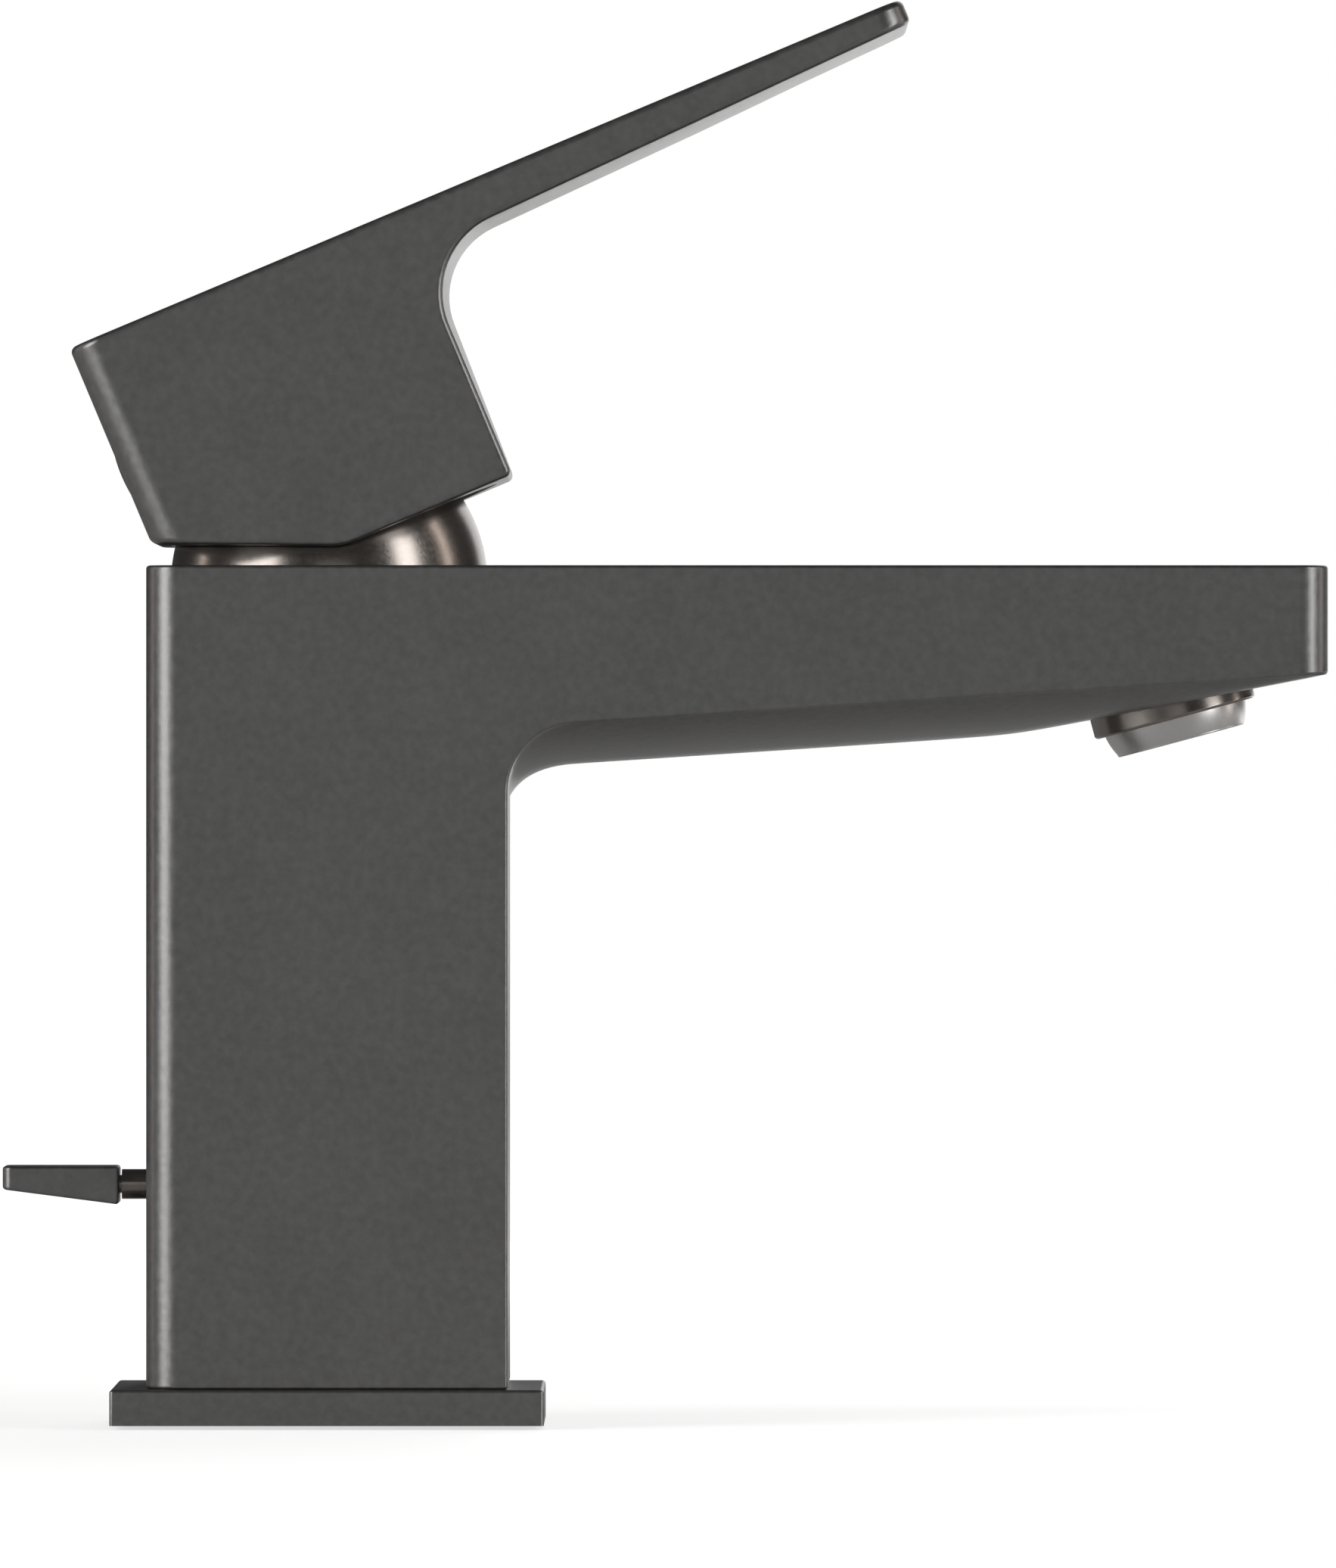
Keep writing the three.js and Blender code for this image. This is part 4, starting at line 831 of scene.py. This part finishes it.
def build_nozzle(scene):
    s = scene.mixer_trim
    low = -s.nozzle_drop
    start = math.asin((low - s.nozzle_centre) / s.nozzle_radius)
    end = math.asin(s.nozzle_rise / s.nozzle_radius)
    ball = sphere_arc(s.nozzle_radius, s.nozzle_centre, start + 0.025, end, 24)
    top = s.nozzle_centre + s.nozzle_rise
    rim = ball[0][0]
    lip = rounded([(rim - NOZZLE_RIM, low), (rim, low, 0.18 * MM), ball[0]])[:-1]
    mouth = rounded(
        [
            (s.nozzle_bore, top),
            (s.nozzle_bore, low + NOZZLE_MOUTH),
            (s.nozzle_lip, low + NOZZLE_MOUTH),
            (s.nozzle_lip, low, 0.2 * MM),
            (rim - NOZZLE_RIM, low),
        ]
    )[:-1]
    obj = turned("nozzle", [tuple(p) for p in lip] + ball + [tuple(p) for p in mouth], WIDE_SIDES)
    placed(obj, aerator_place(s))
    smooth(obj, 25)
    finish(obj, "nozzle", "swivel_nozzle", satin_nickel_material(scene))


def weave(pitch, radius, height):
    """A round patch of crossing wires."""
    cells = int(2 * radius / pitch)
    deselect()
    bpy.ops.mesh.primitive_grid_add(
        x_subdivisions=cells, y_subdivisions=cells, size=cells * pitch, location=(0, 0, height)
    )
    wires = named("wires")
    edit(wires)
    pick(wires, "VERT", lambda v: v.co.xy.length > radius - 0.3 * MM)
    bpy.ops.mesh.delete(type="VERT")
    leave()
    modify(wires, "WIREFRAME", thickness=WIRE)
    return wires


def build_mesh(scene):
    """The outlet's wire mesh in its ring."""
    s = scene.mixer_trim
    edge = 0.1 * MM
    radius = s.nozzle_bore - 0.15 * MM
    inside = radius - MESH_RING
    low = -s.nozzle_drop + 0.75 * MM
    high = low + MESH_THICK
    profile = rounded([(inside, low, edge), (radius, low, edge), (radius, high, edge), (inside, high, edge)])
    ring = turned("mesh", profile)
    wires = weave(s.mesh_pitch, radius, low + MESH_THICK / 2)
    alone(ring)
    wires.select_set(True)
    bpy.ops.object.join()
    placed(ring, aerator_place(s))
    smooth(ring, 30)
    plastic = plastic_material("mesh_plastic", (0.17, 0.175, 0.18))
    finish(ring, "nozzle", "outlet_grid", plastic)


def build_plug(scene):
    s = scene.mixer_lever
    bulge = (s.plug_radius**2 + s.plug_proud**2) / (2 * s.plug_proud)
    edge = math.acos(s.plug_radius / bulge)
    arc = sphere_arc(bulge, s.plug_proud - bulge, edge + 0.01, math.pi / 2, 16)
    foot = PLUG_BACK - PLUG_STEM_LENGTH
    stem = [(0, foot), (PLUG_STEM, foot), (PLUG_STEM, PLUG_BACK)]
    side = stem + [(s.plug_radius, PLUG_BACK), (s.plug_radius, -0.1 * MM)]
    obj = turned("plug", side + arc[:-1] + [(0, s.plug_proud)], closed=False)
    lay = Matrix.Translation((-HALF, 0, s.plug_height)) @ Matrix.Rotation(-math.pi / 2, 4, "Y")
    placed(obj, lever_place(s) @ lay)
    smooth(obj, 35)
    finish(obj, "lever", "index_plug", black_nickel_material(scene))


# ------------------------------------------------------------------ materials


def new_material(name):
    """A material with its shader, or the one already made under that name."""
    if name in bpy.data.materials and bpy.data.materials[name].get("mixer_made"):
        return bpy.data.materials[name], None
    material = bpy.data.materials.new(name)
    material["mixer_made"] = True
    material.use_nodes = True
    return material, material.node_tree


def noise(tree, scale, detail):
    """A noise in the piece's own coordinates, with features of about 1 / scale metres."""
    place = tree.nodes.new("ShaderNodeTexCoord")
    mapping = tree.nodes.new("ShaderNodeMapping")
    mapping.inputs["Scale"].default_value = [scale] * 3
    texture = tree.nodes.new("ShaderNodeTexNoise")
    texture.inputs["Scale"].default_value = 1
    texture.inputs["Detail"].default_value = detail
    tree.links.new(place.outputs["Object"], mapping.inputs["Vector"])
    tree.links.new(mapping.outputs["Vector"], texture.inputs["Vector"])
    return texture.outputs["Fac"]


def spread(tree, value, low, high):
    """A noise's middle range spread over two values."""
    ramp = tree.nodes.new("ShaderNodeMapRange")
    ramp.inputs["From Min"].default_value = 0.3
    ramp.inputs["From Max"].default_value = 0.7
    ramp.inputs["To Min"].default_value = low
    ramp.inputs["To Max"].default_value = high
    tree.links.new(value, ramp.inputs["Value"])
    return ramp.outputs["Result"]


def tinted(tree, value, base, change):
    """A colour that grows a little darker and lighter with a noise."""
    mix = tree.nodes.new("ShaderNodeMix")
    mix.data_type = "RGBA"
    mix.inputs["A"].default_value = [c * (1 - change) for c in base] + [1]
    mix.inputs["B"].default_value = [min(1, c * (1 + change)) for c in base] + [1]
    tree.links.new(spread(tree, value, 0, 1), mix.inputs["Factor"])
    return mix.outputs["Result"]


def bump(tree, value, height):
    """A bump of a height in metres."""
    node = tree.nodes.new("ShaderNodeBump")
    node.inputs["Strength"].default_value = 1
    node.inputs["Distance"].default_value = height
    tree.links.new(value, node.inputs["Height"])
    return node.outputs["Normal"]


def surface(name, base, metallic, roughness, grain, height, change):
    """A material whose colour, roughness and bump all follow noises."""
    material, tree = new_material(name)
    if tree is None:
        return material
    shader = tree.nodes["Principled BSDF"]
    shader.inputs["Metallic"].default_value = metallic
    fine = noise(tree, 1 / grain, 3)
    broad = noise(tree, 60, 2)
    both = tree.nodes.new("ShaderNodeMix")
    both.inputs["Factor"].default_value = 0.25
    tree.links.new(fine, both.inputs["A"])
    tree.links.new(broad, both.inputs["B"])
    tree.links.new(tinted(tree, both.outputs["Result"], base, change), shader.inputs["Base Color"])
    tree.links.new(spread(tree, fine, roughness[0], roughness[1]), shader.inputs["Roughness"])
    tree.links.new(bump(tree, fine, height), shader.inputs["Normal"])
    return material


def graphite_material(scene):
    f = scene.mixer_finishes
    return surface("graphite_coat", f.graphite, 0.9, (0.33, 0.39), f.grain, 0.03 * MM, 0.13)


def black_nickel_material(scene):
    f = scene.mixer_finishes
    return surface("black_nickel", f.black_nickel, 1, (0.2, 0.27), 0.4 * MM, 0.0006 * MM, 0.04)


def satin_nickel_material(scene):
    f = scene.mixer_finishes
    return surface("satin_nickel_turned", f.satin_nickel, 1, (0.28, 0.38), 0.3 * MM, 0.0012 * MM, 0.04)


def plastic_material(name, base):
    return surface(name, base, 0, (0.42, 0.55), 0.25 * MM, 0.004 * MM, 0.05)


def shared_material(scene, slot):
    """The finish of a slot that the seen pieces have too."""
    makers = {
        "graphite": graphite_material,
        "dark_chrome": black_nickel_material,
        "satin_nickel": satin_nickel_material,
    }
    return makers[slot](scene)


# Inner finishes by slot: name, colour, metallic, roughness, then grain and bump in millimetres, and change.
INNER_FINISHES = {
    "steel": ("steel_turned", (0.47, 0.48, 0.5), 1, (0.25, 0.35), 0.2, 0.001, 0.05),
    "brass": ("brass_machined", (0.48, 0.3, 0.085), 1, (0.28, 0.42), 0.25, 0.003, 0.1),
    "rubber": ("rubber_black", (0.012, 0.012, 0.012), 0, (0.65, 0.8), 0.35, 0.006, 0.15),
    "ceramic": ("ceramic_ground", (0.78, 0.76, 0.7), 0, (0.12, 0.22), 0.3, 0.001, 0.03),
}
PLASTICS = {
    "white_plastic": ("plastic_white", (0.68, 0.68, 0.64)),
    "grey_plastic": ("plastic_grey", (0.18, 0.19, 0.2)),
    "red_plastic": ("plastic_red", (0.38, 0.045, 0.032)),
}


def inner_material(scene, slot):
    """The finish of an inner piece that keeps its frame mesh, by its slot."""
    if slot in PLASTICS:
        return plastic_material(*PLASTICS[slot])
    if slot not in INNER_FINISHES:
        return shared_material(scene, slot)
    name, colour_of, metallic, roughness, grain, height, change = INNER_FINISHES[slot]
    return surface(name, colour_of, metallic, roughness, grain * MM, height * MM, change)


def paint_inner_pieces(scene):
    """Gives every node that is still shown the finish of its slot."""
    for node in frame["nodes"].values():
        if node.hide_render:
            continue
        slot = node.data.materials[0].name.split(".")[0]
        node.data.materials[0] = inner_material(scene, slot)


# ------------------------------------------------------------------ stage


def soft_box(name, place, target, width, height, power, tone=(1, 1, 1)):
    """A soft studio light that faces a target."""
    deselect()
    bpy.ops.object.light_add(type="AREA", location=place)
    light = bpy.context.object
    light.name = name
    light.data.shape = "RECTANGLE"
    light.data.size = width
    light.data.size_y = height
    light.data.energy = power
    light.data.color = tone
    light.visible_camera = False
    light.rotation_euler = (Vector(target) - Vector(place)).to_track_quat("-Z", "Y").to_euler()


# The floor's glow grows from near to far between two distances from the mixer, in metres.
GLOW_STARTS = 0.1
GLOW_ENDS = 0.9
GLOW_NEAR = 0.66
GLOW_FAR = 1.0


def floor_material():
    """A pale floor that glows for the camera alone, more so away from the mixer."""
    material, tree = new_material("studio_floor")
    if tree is None:
        return material
    shader = tree.nodes["Principled BSDF"]
    broad = noise(tree, 3, 3)
    tree.links.new(tinted(tree, broad, (0.86, 0.86, 0.86), 0.01), shader.inputs["Base Color"])
    tree.links.new(spread(tree, broad, 0.55, 0.65), shader.inputs["Roughness"])
    place = tree.nodes.new("ShaderNodeTexCoord")
    away = tree.nodes.new("ShaderNodeVectorMath")
    away.operation = "LENGTH"
    glow = tree.nodes.new("ShaderNodeMapRange")
    glow.inputs["From Min"].default_value = GLOW_STARTS
    glow.inputs["From Max"].default_value = GLOW_ENDS
    glow.inputs["To Min"].default_value = GLOW_NEAR
    glow.inputs["To Max"].default_value = GLOW_FAR
    path = tree.nodes.new("ShaderNodeLightPath")
    seen = tree.nodes.new("ShaderNodeMath")
    seen.operation = "MULTIPLY"
    shader.inputs["Emission Color"].default_value = (1, 1, 1, 1)
    tree.links.new(place.outputs["Object"], away.inputs[0])
    tree.links.new(away.outputs["Value"], glow.inputs["Value"])
    tree.links.new(glow.outputs["Result"], seen.inputs[0])
    tree.links.new(path.outputs["Is Camera Ray"], seen.inputs[1])
    tree.links.new(seen.outputs["Value"], shader.inputs["Emission Strength"])
    return material


# Name, degrees around the mixer from its near side, distance, height above its middle, width, height,
# power and tone. The strips are warmer than the boxes.
LIGHTS = (
    ("left_box", -55, 1.3, 0.2, 0.7, 1.3, 13, (1, 1, 1)),
    ("right_box", 60, 1.3, 0.2, 0.4, 1.3, 8, (1, 1, 1)),
    ("front_fill", 3, 3.4, 0.1, 1.6, 1.6, 4.0, (1, 1, 1)),
    ("back_box", 163, 1.0, 0.3, 0.6, 0.7, 1.6, (1, 1, 1)),
    ("left_strip", -106, 1.1, 0.3, 0.1, 0.9, 0.8, (1, 0.9, 0.84)),
    ("right_strip", 100, 1.1, 0.3, 0.14, 0.9, 1.2, (1, 0.9, 0.84)),
)


def build_stage(scene):
    s = scene.mixer_stage
    deselect()
    bpy.ops.mesh.primitive_plane_add(size=s.floor_side, location=(0, 0, -0.5 * MM))
    floor = named("floor")
    floor.data.materials.append(floor_material())
    middle_of = Vector((0.045, 0, 0.08))
    for name, side, distance, up, width, height, power, tone in LIGHTS:
        turn = math.radians(side)
        place = middle_of + Vector((distance * math.sin(turn), -distance * math.cos(turn), up))
        soft_box(name, place, middle_of, width, height, power, tone)
    table = Vector((0.65, 1.05, 0.002))
    soft_box("back_table", table, table + Vector((0, 0, 1)), 1.3, 1.1, 6)
    add_camera(s)
    light_world(scene, s)
    scene.view_settings.view_transform = "Standard"
    scene.view_settings.look = "None"
    scene.view_settings.exposure = 0
    scene.view_settings.gamma = 1


def add_camera(s):
    """A level camera with a long lens."""
    deselect()
    place = (s.eye_x, -HALF - s.eye_distance, s.eye_height)
    bpy.ops.object.camera_add(location=place, rotation=(math.pi / 2, 0, 0))
    camera = bpy.context.object
    camera.name = "camera"
    camera.data.sensor_fit = "VERTICAL"
    camera.data.sensor_width = s.sensor
    camera.data.sensor_height = s.sensor
    camera.data.lens = s.lens
    camera.data.clip_end = 100
    bpy.context.scene.camera = camera


def light_world(scene, s):
    """A plain white background, and a dimmer surround in the reflections."""
    world = bpy.data.worlds.new("studio")
    scene.world = world
    world.use_nodes = True
    tree = world.node_tree
    tree.nodes.clear()
    out = tree.nodes.new("ShaderNodeOutputWorld")
    mix = tree.nodes.new("ShaderNodeMixShader")
    path = tree.nodes.new("ShaderNodeLightPath")
    seen = tree.nodes.new("ShaderNodeBackground")
    seen.inputs["Strength"].default_value = s.backdrop
    around = tree.nodes.new("ShaderNodeBackground")
    around.inputs["Strength"].default_value = s.surround
    seen.inputs["Color"].default_value = (1, 1, 1, 1)
    around.inputs["Color"].default_value = (1, 1, 1, 1)
    tree.links.new(path.outputs["Is Camera Ray"], mix.inputs["Fac"])
    tree.links.new(around.outputs["Background"], mix.inputs[1])
    tree.links.new(seen.outputs["Background"], mix.inputs[2])
    tree.links.new(mix.outputs["Shader"], out.inputs["Surface"])


# ------------------------------------------------------------------ operators, panel and registration


class MIXER_OT_body(Operator):
    """Model the column, the spout and its belly"""

    bl_idname = "mixer.body"
    bl_label = "Body casting"

    def execute(self, context):
        build_body(context.scene)
        return {"FINISHED"}


class MIXER_OT_plate(Operator):
    """Model the plate with its openings"""

    bl_idname = "mixer.plate"
    bl_label = "Base plate"

    def execute(self, context):
        build_plate(context.scene)
        return {"FINISHED"}


class MIXER_OT_lever(Operator):
    """Model the raised lever with its hollow"""

    bl_idname = "mixer.lever"
    bl_label = "Lever"

    def execute(self, context):
        build_lever(context.scene)
        return {"FINISHED"}


class MIXER_OT_dome(Operator):
    """Turn the dome under the lever"""

    bl_idname = "mixer.dome"
    bl_label = "Dome"

    def execute(self, context):
        build_dome(context.scene)
        return {"FINISHED"}


class MIXER_OT_collar(Operator):
    """Turn the collar of the aerator"""

    bl_idname = "mixer.collar"
    bl_label = "Aerator collar"

    def execute(self, context):
        build_collar(context.scene)
        return {"FINISHED"}


class MIXER_OT_nozzle(Operator):
    """Turn the swivelling nozzle"""

    bl_idname = "mixer.nozzle"
    bl_label = "Nozzle"

    def execute(self, context):
        build_nozzle(context.scene)
        return {"FINISHED"}


class MIXER_OT_mesh(Operator):
    """Make the wire mesh of the outlet"""

    bl_idname = "mixer.mesh"
    bl_label = "Outlet mesh"

    def execute(self, context):
        build_mesh(context.scene)
        return {"FINISHED"}


class MIXER_OT_plug(Operator):
    """Turn the plug over the lever's set screw"""

    bl_idname = "mixer.plug"
    bl_label = "Index plug"

    def execute(self, context):
        build_plug(context.scene)
        return {"FINISHED"}


class MIXER_OT_rod(Operator):
    """Model the bent lift rod"""

    bl_idname = "mixer.rod"
    bl_label = "Lift rod"

    def execute(self, context):
        build_rod(context.scene)
        return {"FINISHED"}


class MIXER_OT_knob(Operator):
    """Model the knob of the lift rod"""

    bl_idname = "mixer.knob"
    bl_label = "Lift knob"

    def execute(self, context):
        build_knob(context.scene)
        return {"FINISHED"}


class MIXER_OT_finishes(Operator):
    """Give the inner pieces their finishes"""

    bl_idname = "mixer.finishes"
    bl_label = "Inner finishes"

    def execute(self, context):
        paint_inner_pieces(context.scene)
        return {"FINISHED"}


class MIXER_OT_stage(Operator):
    """Add the floor, the lights and the camera"""

    bl_idname = "mixer.stage"
    bl_label = "Stage"

    def execute(self, context):
        build_stage(context.scene)
        return {"FINISHED"}


OPERATORS = [
    MIXER_OT_body,
    MIXER_OT_plate,
    MIXER_OT_lever,
    MIXER_OT_dome,
    MIXER_OT_collar,
    MIXER_OT_nozzle,
    MIXER_OT_mesh,
    MIXER_OT_plug,
    MIXER_OT_rod,
    MIXER_OT_knob,
    MIXER_OT_finishes,
    MIXER_OT_stage,
]

GROUPS = {
    "mixer_body": MixerBodySizes,
    "mixer_plate": MixerPlateSizes,
    "mixer_lever": MixerLeverSizes,
    "mixer_trim": MixerTrimSizes,
    "mixer_finishes": MixerFinishes,
    "mixer_stage": MixerStageSettings,
}


class MIXER_PT_panel(Panel):
    """Sizes, colours and building steps of the mixer"""

    bl_idname = "MIXER_PT_panel"
    bl_label = "Basin mixer"
    bl_space_type = "VIEW_3D"
    bl_region_type = "UI"
    bl_category = "Mixer"

    def draw(self, context):
        for name, group in GROUPS.items():
            box = self.layout.box()
            for field in group.__annotations__:
                box.prop(getattr(context.scene, name), field)
        for made in OPERATORS:
            self.layout.operator(made.bl_idname)


def register():
    for name, group in GROUPS.items():
        bpy.utils.register_class(group)
        setattr(bpy.types.Scene, name, PointerProperty(type=group))
    for made in OPERATORS:
        bpy.utils.register_class(made)
    bpy.utils.register_class(MIXER_PT_panel)


def unregister():
    bpy.utils.unregister_class(MIXER_PT_panel)
    for made in reversed(OPERATORS):
        bpy.utils.unregister_class(made)
    for name, group in GROUPS.items():
        delattr(bpy.types.Scene, name)
        bpy.utils.unregister_class(group)


def main():
    register()
    for made in OPERATORS:
        getattr(bpy.ops.mixer, made.bl_idname.split(".")[1])()


if __name__ == "__main__":
    main()
